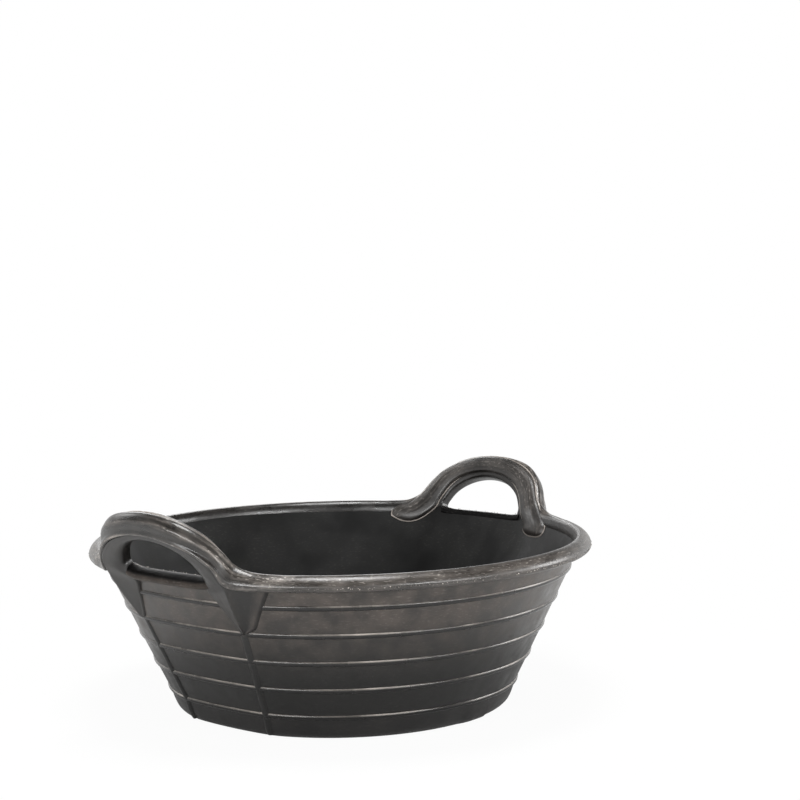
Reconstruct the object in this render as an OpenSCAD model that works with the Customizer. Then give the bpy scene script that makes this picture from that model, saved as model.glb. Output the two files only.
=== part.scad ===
// Round rubber feed tub with two carrying handles, shown as the pieces of its lay-up.
// Millimetres, +Z up, origin in the middle of the underside, handles on +X and -X.

/* [Tub] */
// Outer diameter over the rim bead
rim_d = 400; // [360:2:440]
// Height of the rim crest above the ground
tub_h = 133; // [120:1:150]
// Outer diameter of the wall at the ground
base_d = 260; // [230:2:290]
// Thickness of the wall, measured level
wall_t = 5.5; // [4:0.5:7]
// Thickness of the floor
floor_t = 6; // [4:0.5:8]

/* [Handle ends] */
// Half of the angle between the two seams under one handle
end_half_angle = 18; // [16:0.5:21]
// Radius of the flatter wall under a handle, as a share of the round wall's radius
end_curve_share = 2.5; // [1.6:0.1:4]

/* [Rim] */
// Width of the rim bead
bead_w = 14; // [12:0.5:17]
// Height of the rim bead
bead_h = 11; // [9:0.5:12]
// How far the bead stands out past the line of the wall at the crest
rim_overhang = 5.2; // [4:0.1:7]
// Height of the strip of wall that is moulded with the bead
rim_skirt = 3; // [2:0.5:5]
// Width of the sill under a hand hole
sill_w = 12; // [10:0.5:14]
// Height of the sill's roll
sill_h = 8; // [6:0.5:8]
// Drop from the rim crest to the top of the sill
sill_drop = 5; // [4:0.5:6]

/* [Ribs and seams] */
// Number of level ribs round the wall
rib_count = 5; // [3:1:7]
// Height of the lowest rib
rib_first = 18.5; // [14:0.5:20]
// Drop from the rim crest to the highest rib
rib_top_drop = 24.9; // [22:0.1:30]
// Width of a rib
rib_w = 3; // [2:0.5:4]
// How far a rib stands out of the wall
rib_proud = 1.5; // [1:0.1:2]
// Width of a seam strip
seam_w = 4.5; // [3:0.5:6]
// How far a seam strip stands out
seam_proud = 1.8; // [1:0.1:2.5]

/* [Base band] */
// Thickness of the band round the foot of the wall
band_t = 1.6; // [1:0.1:2.5]
// Length over which the band's two ends lap
lap_len = 30; // [20:1:50]
// Angle of the end of the lap, from +X
lap_angle = 276; // [250:1:290]

/* [Handles] */
// Width of the hand hole at the sill
hole_w = 88; // [82:1:98]
// Height of the hand hole, up the lean of the handle
hole_h = 31; // [27:1:36]
// Width of the grip, across the loop
grip_w = 21; // [18:0.5:24]
// Thickness of the grip, through the loop
grip_t = 19.5; // [16:0.5:22]
// How far the middle of the grip stands out of the middle of the wall
handle_set_out = 2.5; // [0:0.5:4]
// Height of the bending line above the rim crest, up the lean
hinge_rise = 2; // [1:0.5:3]
// How far a neck's round end stands past the faces of the grip
neck_margin = 0.5; // [0.4:0.1:1]
// Turn from the crown at which the grip's layers end and the neck begins
neck_turn = 57; // [54:1:58]
// Gap round a neck in its foot
joint_gap = 0.35; // [0.3:0.05:0.6]

/* [Feet] */
// Thickness of a foot between the hand hole and the neck
foot_wall = 3.5; // [2.5:0.5:5]
// Length of the shoulder that runs from a foot down to the rim
shoulder_len = 12; // [9:0.5:16]
// Height of the shoulder above the rim crest
shoulder_rise = 4; // [2:0.5:6]
// Drop from the rim crest to the saddle beside a neck
saddle_drop = 3; // [2.5:0.5:4]
// Length of a gusset along the rim past its foot
gusset_reach = 8; // [5:0.5:12]
// How far the outer edge of a gusset stands out of the wall
gusset_step = 2.5; // [1.5:0.1:3.5]
// How far the tip of a gusset stands out of the wall
gusset_tip_proud = 2; // [1.5:0.1:3]
// Width of a gusset at its tip
gusset_tip_w = 6; // [5:0.5:9]
// Width of the tongue inside each foot
tongue_w = 24; // [18:1:28]
// Thickness of a tongue
tongue_t = 6; // [4:0.5:7]
// Drop from the rim crest to the tip of a tongue
tongue_drop = 17; // [15:0.5:20]
// Drop from the rim crest to the top of a tongue
tongue_top_drop = 7; // [6.5:0.5:9]
// Distance of a tongue's middle past the neck, along the rim
tongue_shift = 3; // [1:0.5:6]

/* [Hidden] */
// Gap under pieces that are laid on a curved face
bond_gap = 0.1;
// Length by which cuts run past the solid
overrun = 40;
// Angle from one section of a curved piece to the next
turn_step = 4;
$fn = 180;

// Wall
wall_slope = (rim_d / 2 - rim_overhang - base_d / 2) / tub_h;
lean = atan(wall_slope);
seat_z = tub_h - bead_h - rim_skirt;
end_centre_share = sqrt(end_curve_share ^ 2 - sin(end_half_angle) ^ 2) - cos(end_half_angle);
band_h = rib_first - rib_w / 2 - bond_gap;
rib_pitch = (tub_h - rib_top_drop - rib_first) / (rib_count - 1);
rib_heights = [for (i = [0 : rib_count - 1]) rib_first + i * rib_pitch];
// The gussets end at the second rib from the top, counted on the wall as a whole
tip_z = rib_heights[rib_count - 2];

// Handle plane, which carries on the lean of the wall
bead_r = rim_d / 2 - bead_w / 2;
sill_r = wall_radius(tub_h - sill_drop - sill_h / 2) - wall_t + sill_w / 2;
plane_x = outline_share(0) * (wall_radius(tub_h) - wall_t / 2) + handle_set_out;
sill_s = -sill_drop / cos(lean);
arch_a = (hole_w + grip_w) / 2;
arch_b = hole_h + grip_w / 2;

// Necks, which turn in the feet
hinge_turn = acos((hinge_rise - sill_s) / arch_b);
hinge_y = arch_a * sin(hinge_turn);
hinge_x = plane_x + hinge_rise * sin(lean);
hinge_z = tub_h + hinge_rise * cos(lean);
neck_r = grip_t / 2 + neck_margin;
neck_len = grip_w + 2 * neck_margin;
neck_y_in = hinge_y - neck_len / 2;
neck_y_out = hinge_y + neck_len / 2;

// Feet
foot_in_angle = atan2(neck_y_in - joint_gap - foot_wall, plane_x);
foot_out_angle = asin((neck_y_out + joint_gap + shoulder_len) / bead_r);
gusset_out_angle = foot_out_angle + gusset_reach / bead_r * 180 / PI;
ridge_angle = atan2(hinge_y, plane_x + grip_t / 2);
face_x = plane_x - (tub_h - seat_z) * wall_slope + grip_t / 2 / cos(lean);
gusset_proud = face_x / cos(ridge_angle) - outer_r(seat_z, ridge_angle);
tongue_r = wall_radius(tub_h - tongue_drop) - wall_t;
tongue_angle = asin((neck_y_out + tongue_shift) / tongue_r);

// Section of the grip: shares of its half width, across the loop, and of its half thickness
strap_profile_shares = [[-0.98, -0.2], [-0.85, -0.53], [-0.55, -0.84], [-0.2, -0.98],
    [0.2, -0.98], [0.55, -0.84], [0.85, -0.53], [0.98, -0.2]];
roll_profile_shares = [[-0.33, 0.84], [-0.2, 0.97], [0, 1], [0.2, 0.92], [0.4, 0.94],
    [0.62, 0.8], [0.84, 0.56], [0.98, 0.2]];
band_profile_shares = [[-0.98, 0.3], [-0.92, 0.58], [-0.65, 0.68], [-0.36, 0.72]];

// Round of the bead, as shares of its half height
bead_level_shares = [-1, -0.7, 0, 0.7, 1];
// Block of a foot: levels as shares of its height, and its two sides as shares of its depth
block_level_shares = [0, 0.3, 0.55, 0.78, 0.92, 1];
block_inner_shares = [0, 0, 0, 0.04, 0.14, 0.32];
block_outer_shares = [1, 1, 1, 0.96, 0.86, 0.68];
// Stations along a foot from the sill to the rim, and how far each one is the block
foot_turn_shares = [0, 0.1, 0.3, 0.5, 0.7, 0.85, 1];
foot_block_shares = [0, 0.8, 1, 1, 1, 0.5, 0];
// Round of a seam strip, from edge to edge
strip_round_shares = [0.4, 1, 0.4];
// Stations down a tongue, with its width and thickness
tongue_level_shares = [0, 0.08, 0.25, 0.55, 1];
tongue_width_shares = [0.3, 0.66, 0.9, 1, 1];
tongue_bulge_shares = [0.25, 0.6, 0.9, 1, 1];
tongue_round_shares = [0, 0.75, 1, 0.75, 0];

// Outer radius of the round wall at a height
function wall_radius(z) = base_d / 2 + wall_slope * z;

// Angle from the nearer handle's axis
function off_axis(turn) = abs((turn + 90) % 180 - 90);

// Radius of the plan outline at an angle, as a share of the round wall's radius
function outline_share(turn) = let (off = off_axis(turn))
    off >= end_half_angle ? 1
    : sqrt(end_curve_share ^ 2 - (end_centre_share * sin(off)) ^ 2) - end_centre_share * cos(off);

function outer_r(z, turn) = outline_share(turn) * wall_radius(z);
function inner_r(z, turn) = outline_share(turn) * (wall_radius(z) - wall_t);

// Point at a radius, an angle and a height
function spot(r, turn, z) = [r * cos(turn), r * sin(turn), z];

// Angles from one to another in even steps
function turns(from, to) = let (n = ceil(abs(to - from) / turn_step))
    [for (i = [0 : n]) from + (to - from) * i / n];

// Angles once round the tub, with one at each seam
function round_turns(step) = let (stops = [-end_half_angle, end_half_angle, 180 - end_half_angle,
        180 + end_half_angle, 360 - end_half_angle])
    [for (k = [1 : len(stops) - 1]) let (n = ceil((stops[k] - stops[k - 1]) / step))
        for (i = [0 : n - 1]) mix(stops[k - 1], stops[k], i / n)];

// Value at a place in a table of x and y, on straight lines between its rows
function along(x, xs, ys) = lookup(x, [for (i = [0 : len(xs) - 1]) [xs[i], ys[i]]]);

function mix(a, b, share) = a * (1 - share) + b * share;

function reversed(list) = [for (i = [len(list) - 1 : -1 : 0]) list[i]];

// Solid through a row of rings. Each ring runs up one side and back down the other,
// so its first point lies across from its last.
module loft(rings, closed = false) {
    count = len(rings);
    n = len(rings[0]);
    spans = closed ? count : count - 1;
    function at(i, j) = (i % count) * n + j % n;
    sides = [for (i = [0 : spans - 1], j = [0 : n - 1])
        each [[at(i, j), at(i, j + 1), at(i + 1, j + 1)], [at(i, j), at(i + 1, j + 1), at(i + 1, j)]]];
    first = [for (j = [0 : n / 2 - 2])
        each [[at(0, j), at(0, n - 1 - j), at(0, j + 1)],
              [at(0, j + 1), at(0, n - 1 - j), at(0, n - 2 - j)]]];
    last = [for (face = first) [for (k = reversed(face)) k + (count - 1) * n]];
    polyhedron(points = [for (ring = rings) each ring], faces = closed ? sides : concat(sides, first, last));
}

// Places one end's piece, which is modelled at the back of the right end
module at_corner(left, front) {
    mirror([left ? 1 : 0, 0, 0])
    mirror([0, front ? 1 : 0, 0])
    children();
}

// Rim and sill section: the strip of wall at its foot, then the round of the bead
function bead_ring(turn, r, z, w, h) =
    let (share = outline_share(turn),
         levels = [for (u = bead_level_shares) z + u * h / 2],
         half = [for (u = bead_level_shares) (w - h + h * sqrt(1 - u ^ 2)) / 2],
         inner = [for (i = [0 : len(levels) - 1])
             bead_level_shares[i] > 0 ? r - half[i] : min(r - half[i], wall_radius(levels[i]) - wall_t)],
         outer = [for (i = [0 : len(levels) - 1]) r + half[i]])
    concat([spot(inner_r(seat_z, turn), turn, seat_z)],
        [for (i = [0 : len(levels) - 1]) spot(share * inner[i], turn, levels[i])],
        reversed([for (i = [0 : len(levels) - 1]) spot(share * outer[i], turn, levels[i])]),
        [spot(outer_r(seat_z, turn), turn, seat_z)]);

function sill_ring(turn) = bead_ring(turn, sill_r, tub_h - sill_drop - sill_h / 2, sill_w, sill_h);
function rim_ring(turn) = bead_ring(turn, bead_r, tub_h - bead_h / 2, bead_w, bead_h);

// How far down a gusset a height lies, from 0 at its seat to 1 at its tip
function gusset_share(z) = (seat_z - z) / (seat_z - tip_z);
function tip_half_angle() = gusset_tip_w / 2 / wall_radius(tip_z) * 180 / PI;
function gusset_in(z) = mix(foot_in_angle, end_half_angle - tip_half_angle(), gusset_share(z));
function gusset_out(z) = mix(gusset_out_angle, end_half_angle + tip_half_angle(), gusset_share(z));
function gusset_ridge(z) = mix(ridge_angle, end_half_angle - tip_half_angle() / 2, gusset_share(z));

// How far a gusset's face stands out of the wall
function gusset_face(z, turn) = let (share = gusset_share(z))
    along(turn, [gusset_in(z), gusset_ridge(z), gusset_out(z)],
        [0, mix(gusset_proud, gusset_tip_proud, share), mix(gusset_step, gusset_tip_proud, share)]);

// Floor and base

module floor_disc() {
    color("#262524")
    loft([for (z = [floor_t, 0]) [for (turn = round_turns(turn_step)) spot(outer_r(z, turn), turn, z)]]);
}

// Thickness of the base band, which doubles where its ends lap
function band_thickness(turn) =
    let (back = (lap_angle - turn) * PI / 180 * base_d / 2)
    back > 0 && back < lap_len ? 2 * band_t : band_t;

function band_ring(turn) = let (t = band_thickness(turn), low = bond_gap, high = band_h)
    [spot(outer_r(0, turn) + low, turn, 0), spot(outer_r(high, turn) + low, turn, high),
     spot(outer_r(high, turn) + t, turn, high), spot(outer_r(0, turn) + t, turn, 0)];

module base_band() {
    color("#2b2928")
    loft([for (turn = reversed(round_turns(turn_step / 2))) band_ring(turn)], closed = true);
}

// Wall panels

// Angle taken by half a seam strip at a height
function strip_half_angle(z) = (seam_w / 2 + bond_gap) / wall_radius(z) * 180 / PI;

// Where a rib stops, on the handle side and on the long side of a seam
function rib_stop_in(z) = z >= tip_z ? gusset_in(z + rib_w / 2) - strip_half_angle(z) / 4
    : end_half_angle - strip_half_angle(z);
function rib_stop_out(z) = z >= tip_z ? gusset_out(z + rib_w / 2) + strip_half_angle(z) / 4
    : end_half_angle + strip_half_angle(z);

// Section of a rib, sunk half way into the wall
function rib_section(z) = [
    [wall_radius(z) - wall_t / 2, z - rib_w / 2], [wall_radius(z - rib_w / 2), z - rib_w / 2],
    [wall_radius(z) + rib_proud, z - rib_w / 4], [wall_radius(z) + rib_proud, z + rib_w / 4],
    [wall_radius(z + rib_w / 2), z + rib_w / 2], [wall_radius(z) - wall_t / 2, z + rib_w / 2]];

wall_section = [[wall_radius(floor_t) - wall_t, floor_t], [wall_radius(floor_t), floor_t],
    [wall_radius(seat_z), seat_z], [wall_radius(seat_z) - wall_t, seat_z]];

module turned(section, from, to) {
    rotate([0, 0, from])
    rotate_extrude(angle = to - from)
    polygon(section);
}

module long_panel() {
    turned(wall_section, end_half_angle, 180 - end_half_angle);
    for (z = rib_heights) {
        turned(rib_section(z), rib_stop_out(z), 180 - rib_stop_out(z));
    }
}

module wall_back() {
    color("#302e2c")
    long_panel();
}

module wall_front() {
    color("#302e2c")
    mirror([0, 1, 0])
    long_panel();
}

function end_ring(section, turn) = [for (p = section) spot(outline_share(turn) * p[0], turn, p[1])];

module end_panel() {
    loft([for (turn = turns(-end_half_angle, end_half_angle)) end_ring(wall_section, turn)]);
    for (z = rib_heights) {
        loft([for (turn = turns(-rib_stop_in(z), rib_stop_in(z))) end_ring(rib_section(z), turn)]);
    }
}

module wall_right_end() {
    color("#353331")
    end_panel();
}

module wall_left_end() {
    color("#353331")
    mirror([1, 0, 0])
    end_panel();
}

// Seam strips

// Level section of a strip: its back on the wall, or on the band, and its front
function strip_ring(z) =
    let (under = z > band_h ? bond_gap : band_t + bond_gap,
         edges = [for (side = [-1, 0, 1]) end_half_angle + side * seam_w / 2 / wall_radius(z) * 180 / PI],
         proud = strip_round_shares * seam_proud)
    concat([for (turn = edges) spot(outer_r(z, turn) + under, turn, z)],
        reversed([for (i = [0 : len(edges) - 1]) spot(outer_r(z, edges[i]) + under + proud[i], edges[i], z)]));

module seam_strip() {
    color("#3a3835")
    loft([for (z = [0, band_h, band_h + band_t, tip_z - rib_w / 2]) strip_ring(z)]);
}

module seam_strip_front_left() at_corner(true, true) seam_strip();
module seam_strip_back_left() at_corner(true, false) seam_strip();
module seam_strip_front_right() at_corner(false, true) seam_strip();
module seam_strip_back_right() at_corner(false, false) seam_strip();

// Rim and sills

module rim_section() {
    polygon([[wall_radius(seat_z) - wall_t, seat_z], [wall_radius(seat_z), seat_z],
        [bead_r, tub_h - bead_h / 2], [wall_radius(tub_h - bead_h / 2) - wall_t, tub_h - bead_h / 2]]);
    for (side = [-1, 1]) {
        translate([bead_r + side * (bead_w - bead_h) / 2, tub_h - bead_h / 2])
        circle(d = bead_h);
    }
    translate([bead_r, tub_h - bead_h / 2])
    square([bead_w - bead_h, bead_h], center = true);
}

module long_rim() {
    rotate([0, 0, foot_out_angle])
    rotate_extrude(angle = 180 - 2 * foot_out_angle)
    rim_section();
}

module rim_back() {
    color("#4a4743")
    long_rim();
}

module rim_front() {
    color("#4a4743")
    mirror([0, 1, 0])
    long_rim();
}

module sill_right() {
    color("#45423f")
    loft([for (turn = turns(foot_in_angle, -foot_in_angle)) sill_ring(turn)]);
}

module sill_left() {
    mirror([1, 0, 0])
    sill_right();
}

// Feet, gussets and tongues

// Section of a foot where it is a block behind the gusset
function block_ring(turn, top) =
    let (levels = [for (u = block_level_shares) mix(seat_z, top, u)],
         proud = gusset_face(seat_z, turn),
         depth = wall_t + proud,
         n = len(levels) - 1)
    concat([for (i = [0 : n]) spot(inner_r(levels[i], turn) + block_inner_shares[i] * depth, turn, levels[i])],
        reversed([for (i = [0 : n])
            spot(inner_r(levels[i], turn) + block_outer_shares[i] * depth, turn, levels[i])]));

// Station along a foot, from the sill's section through the block to the rim's section
function foot_ring(i) =
    let (u = foot_turn_shares[i],
         turn = along(u, [0, 1 / 2, 1], [foot_in_angle, end_half_angle, foot_out_angle]),
         end = u < 0.5 ? sill_ring(turn) : rim_ring(turn),
         top = u < 0.5 ? tub_h - saddle_drop : tub_h + shoulder_rise,
         block = block_ring(turn, top))
    [for (j = [0 : len(end) - 1]) mix(end[j], block[j], foot_block_shares[i])];

module foot() {
    color("#3d3a37")
    difference() {
        loft(reversed([for (i = [0 : len(foot_turn_shares) - 1]) foot_ring(i)]));
        translate([hinge_x, neck_y_in - joint_gap, hinge_z])
        rotate([-90, 0, 0])
        cylinder(r = neck_r + joint_gap, h = neck_len + 2 * joint_gap);
        translate([hinge_x - overrun / 2, neck_y_in - joint_gap, tub_h - saddle_drop])
        cube([overrun, neck_len + 2 * joint_gap, overrun]);
    }
}

module foot_front_left() at_corner(true, true) foot();
module foot_back_left() at_corner(true, false) foot();
module foot_front_right() at_corner(false, true) foot();
module foot_back_right() at_corner(false, false) foot();

// Level section of a gusset, from the hand hole's side to the long side
function gusset_ring(z) =
    let (stops = [gusset_in(z), mix(gusset_in(z), gusset_ridge(z), 1 / 2), gusset_ridge(z), end_half_angle,
             mix(end_half_angle, gusset_out(z), 1 / 3), mix(end_half_angle, gusset_out(z), 2 / 3), gusset_out(z)],
         back = [for (turn = stops) spot(outer_r(z, turn) + bond_gap, turn, z)],
         face = [for (turn = stops) spot(outer_r(z, turn) + 2 * bond_gap + gusset_face(z, turn), turn, z)])
    concat(back, reversed(face));

module gusset() {
    color("#33312f")
    loft([for (u = [0 : 1 / 4 : 1]) gusset_ring(mix(tip_z, seat_z, u))]);
}

module gusset_front_left() at_corner(true, true) gusset();
module gusset_back_left() at_corner(true, false) gusset();
module gusset_front_right() at_corner(false, true) gusset();
module gusset_back_right() at_corner(false, false) gusset();

// Level section of a tongue, on the inside of the wall
function tongue_ring(i) =
    let (z = mix(tub_h - tongue_drop, tub_h - tongue_top_drop, tongue_level_shares[i]),
         half = tongue_width_shares[i] * tongue_w / 2 / tongue_r * 180 / PI,
         n = len(tongue_round_shares) - 1,
         stops = [for (k = [0 : n]) tongue_angle + half * (2 * k / n - 1)],
         bulge = tongue_bulge_shares[i] * tongue_t)
    concat([for (k = [0 : n]) spot(inner_r(z, stops[k]) - 3 * bond_gap - bulge * tongue_round_shares[k], stops[k], z)],
        reversed([for (k = [0 : n]) spot(inner_r(z, stops[k]) - 2 * bond_gap, stops[k], z)]));

module tongue() {
    color("#2e2c2b")
    loft([for (i = [0 : len(tongue_level_shares) - 1]) tongue_ring(i)]);
}

module tongue_front_left() at_corner(true, true) tongue();
module tongue_back_left() at_corner(true, false) tongue();
module tongue_front_right() at_corner(false, true) tongue();
module tongue_back_right() at_corner(false, false) tongue();

// Handles

// Point of the right handle: across the tub, up the lean, and out of the handle's plane
function handle_spot(y, s, out) =
    [plane_x + s * sin(lean) + out * cos(lean), y, tub_h + s * cos(lean) - out * sin(lean)];

// Point of the grip's section at a turn from the crown
function grip_spot(turn, across, out) =
    let (normal = [sin(turn) / arch_a, cos(turn) / arch_b],
         unit = normal / norm(normal))
    handle_spot(arch_a * sin(turn) + across * unit[0], sill_s + arch_b * cos(turn) + across * unit[1], out);

// Section between a row of under points and a row of upper points, both as shares
function grip_ring(turn, under, upper) =
    concat([for (p = under) grip_spot(turn, p[0] * grip_w / 2, p[1] * grip_t / 2)],
        reversed([for (p = upper) grip_spot(turn, p[0] * grip_w / 2, p[1] * grip_t / 2)]));

function flat_under(profile) = [for (p = profile) [p[0], 0]];
function strap_under(profile) = [for (p = profile) [p[0], -sqrt(1 - p[0] ^ 2)]];

module grip_layer(under, upper) {
    loft([for (turn = turns(neck_turn, -neck_turn)) grip_ring(turn, under, upper)]);
}

module right_grip_roll() {
    color("#4b4845")
    grip_layer(flat_under(roll_profile_shares), roll_profile_shares);
}

module right_grip_strap() {
    color("#403d3b")
    grip_layer(strap_profile_shares, flat_under(strap_profile_shares));
}

module right_hole_band() {
    color("#3b3836")
    grip_layer(flat_under(band_profile_shares), band_profile_shares);
}

module left_grip_roll() mirror([1, 0, 0]) right_grip_roll();
module left_grip_strap() mirror([1, 0, 0]) right_grip_strap();
module left_hole_band() mirror([1, 0, 0]) right_hole_band();

// Neck: the foot of the grip, with a round end about the bending line
module neck() {
    profile = concat(band_profile_shares, roll_profile_shares);
    intersection() {
        loft([for (turn = turns(90, neck_turn)) grip_ring(turn, strap_under(profile), profile)]);
        translate([hinge_x, hinge_y, hinge_z])
        rotate([0, lean, 0])
        translate([-overrun / 2, -overrun / 2, 0])
        cube(overrun);
    }
    translate([hinge_x, neck_y_in, hinge_z])
    rotate([-90, 0, 0])
    cylinder(r = neck_r, h = neck_len);
}

module right_necks() {
    color("#474441")
    for (front = [false, true]) {
        at_corner(false, front)
        neck();
    }
}

module left_necks() mirror([1, 0, 0]) right_necks();

floor_disc();
base_band();
wall_front();
wall_back();
wall_left_end();
wall_right_end();
seam_strip_front_left();
seam_strip_back_left();
seam_strip_front_right();
seam_strip_back_right();
rim_front();
rim_back();
sill_left();
sill_right();
foot_front_left();
foot_back_left();
foot_front_right();
foot_back_right();
gusset_front_left();
gusset_back_left();
gusset_front_right();
gusset_back_right();
tongue_front_left();
tongue_back_left();
tongue_front_right();
tongue_back_right();
left_grip_roll();
left_grip_strap();
left_hole_band();
left_necks();
right_grip_roll();
right_grip_strap();
right_hole_band();
right_necks();
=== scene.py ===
"""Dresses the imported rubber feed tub: sheets, rolls and strips of cured black rubber on a pale studio floor.

Sizes are in millimetres in the tub's own frame: +Z up, handles on the X axis, front towards -Y.
"""

from __future__ import annotations

import logging
import math
from collections.abc import Mapping, Sequence
from dataclasses import dataclass, field
from enum import Enum
from typing import Any

import bmesh
import bpy
import numpy as np
from mathutils import Matrix, Vector


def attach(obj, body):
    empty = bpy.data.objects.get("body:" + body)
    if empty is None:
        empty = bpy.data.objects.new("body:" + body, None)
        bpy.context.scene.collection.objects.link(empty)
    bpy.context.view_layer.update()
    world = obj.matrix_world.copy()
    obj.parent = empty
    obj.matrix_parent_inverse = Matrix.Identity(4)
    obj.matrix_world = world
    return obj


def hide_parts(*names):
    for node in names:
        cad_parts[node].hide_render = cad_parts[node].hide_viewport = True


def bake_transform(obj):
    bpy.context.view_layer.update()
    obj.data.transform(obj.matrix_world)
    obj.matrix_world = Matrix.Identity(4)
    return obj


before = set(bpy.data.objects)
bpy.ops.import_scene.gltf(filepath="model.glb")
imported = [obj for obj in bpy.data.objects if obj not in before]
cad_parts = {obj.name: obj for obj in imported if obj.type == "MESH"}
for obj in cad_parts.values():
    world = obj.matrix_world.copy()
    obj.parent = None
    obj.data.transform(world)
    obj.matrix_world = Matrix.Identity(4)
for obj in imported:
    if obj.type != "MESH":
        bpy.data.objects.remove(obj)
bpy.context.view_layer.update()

log = logging.getLogger("feed_tub")
MM = 0.001
# Points that lie nearer than this, in metres, are welded.
WELD = 1e-6
# What a noise texture gives on average.
NOISE_MEAN = 0.5
WHITE = (1.0, 1.0, 1.0, 1.0)
UP = np.array([0.0, 0.0, 1.0])
# Factors that keep an arrow's level part, and that mirror a point across Y.
LEVEL = np.array([1.0, 1.0, 0.0])
MIRROR_Y = np.array([1.0, -1.0, 1.0])
# Arrays of points, and short lists of places that are given one by one.
Points = np.ndarray
Places = tuple[tuple[float, ...], ...]


class Labelled(Enum):
    """A choice whose name goes into the names of pieces."""

    @property
    def label(self) -> str:
        """The name in small letters."""
        return self.name.lower()


class Side(Labelled):
    """The two handle ends of the tub, with the sign of X."""

    LEFT = -1
    RIGHT = 1


class Face(Labelled):
    """The two long sides of the tub, with the sign of Y."""

    FRONT = -1
    BACK = 1


def linear(colour: str) -> tuple[float, float, float, float]:
    """Turns an sRGB hex colour to linear values.

    Args:
        colour: six hex digits after a hash.

    Returns:
        Red, green, blue and alpha.
    """
    shares = [int(colour[i:i + 2], 16) / 255 for i in (1, 3, 5)]
    red, green, blue = (s / 12.92 if s <= 0.04045 else ((s + 0.055) / 1.055) ** 2.4 for s in shares)
    return red, green, blue, 1.0


def add_node(
    tree: bpy.types.NodeTree,
    kind: str,
    links: Mapping[str | int, Any] | None = None,
    **settings: Any,
) -> bpy.types.Node:
    """Adds a node with its settings and links.

    Args:
        tree: the tree that the node goes into.
        kind: Blender's own name for the node.
        links: what each input takes, another node's output or a plain value, by the input's name or number.
        settings: the node's own properties.

    Returns:
        The new node.
    """
    node = tree.nodes.new(kind)
    for name, value in settings.items():
        setattr(node, name, value)
    for key, value in (links or {}).items():
        if isinstance(value, bpy.types.NodeSocket):
            tree.links.new(value, node.inputs[key])
        else:
            node.inputs[key].default_value = value
    return node


def ease(share: Points | float) -> Points | float:
    """A soft step from 0 to 1."""
    share = np.clip(share, 0.0, 1.0)
    return share * share * (3 - 2 * share)


def mix(a: Points | float, b: Points | float, share: Points | float) -> Points | float:
    """The value that lies that share of the way from a to b."""
    return a * (1 - share) + b * share


def bump(where: Points, middle: float, width: float) -> Points:
    """A smooth bump of height 1 about a middle."""
    return np.exp(-((where - middle) / width) ** 2)


def unit(arrows: Points) -> Points:
    """The same directions with a length of 1."""
    return arrows / np.linalg.norm(arrows, axis=-1, keepdims=True)


def polar(r: Points | float, turn: Points | float, z: Points | float) -> Points:
    """Points from their radius, turn about Z and height, with their coordinates in the last axis."""
    r, turn, z = np.broadcast_arrays(r, turn, z)
    return np.stack([r * np.cos(turn), r * np.sin(turn), z], axis=-1)


def spline(knots: Points, stations: int) -> Points:
    """Draws a natural cubic curve through knots.

    Args:
        knots: the points to pass, one a row, with any shape after that.
        stations: how many points the curve gets.

    Returns:
        The curve's points, evenly spread over the knots' numbers.
    """
    count = len(knots)
    flat = knots.reshape(count, -1)
    system = np.diag(np.full(count, 4.0)) + np.diag(np.ones(count - 1), 1) + np.diag(np.ones(count - 1), -1)
    system[0, :2] = (1.0, 0.0)
    system[-1, -2:] = (0.0, 1.0)
    change = np.zeros_like(flat)
    change[1:-1] = 6 * (flat[2:] - 2 * flat[1:-1] + flat[:-2])
    bend = np.linalg.solve(system, change)
    at = np.linspace(0, count - 1, stations)
    low = np.clip(at.astype(int), 0, count - 2)
    t = (at - low)[:, None]
    curve = mix(flat[low], flat[low + 1], t)
    curve += ((1 - t) ** 3 - (1 - t)) * bend[low] / 6 + (t ** 3 - t) * bend[low + 1] / 6
    return curve.reshape((stations,) + knots.shape[1:])


def both_ways(half: Points) -> Points:
    """Adds the mirror image across Y of knots that start on the middle plane."""
    return np.concatenate([half[:0:-1] * MIRROR_Y, half])


def bezier(a: Points, b: Points, c: Points, d: Points, shares: Points) -> Points:
    """Draws one cubic arc for each station.

    Args:
        a: where each arc starts.
        b: what it leaves towards.
        c: what it comes from.
        d: where it ends.
        shares: how far along the arc each point is.

    Returns:
        Stations by shares by three coordinates.
    """
    t = shares[None, :, None]
    a, b, c, d = (p[:, None, :] for p in (a, b, c, d))
    return (1 - t) ** 3 * a + 3 * (1 - t) ** 2 * t * b + 3 * (1 - t) * t ** 2 * c + t ** 3 * d


def rounded(loops: Points, steps: int) -> Points:
    """Rounds closed loops by a curve through their points.

    Args:
        loops: stations by points by three coordinates.
        steps: how many points each of the old ones becomes.

    Returns:
        The finer loops.
    """
    before, after, beyond = (np.roll(loops, shift, axis=1) for shift in (1, -1, -2))
    t = (np.arange(steps) / steps)[None, None, :, None]
    a, b, c, d = (p[:, :, None, :] for p in (before, loops, after, beyond))
    square = 2 * a - 5 * b + 4 * c - d
    cube = 3 * b - a - 3 * c + d
    fine = 0.5 * (2 * b + (c - a) * t + square * t ** 2 + cube * t ** 3)
    return fine.reshape(len(loops), -1, 3)


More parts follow.
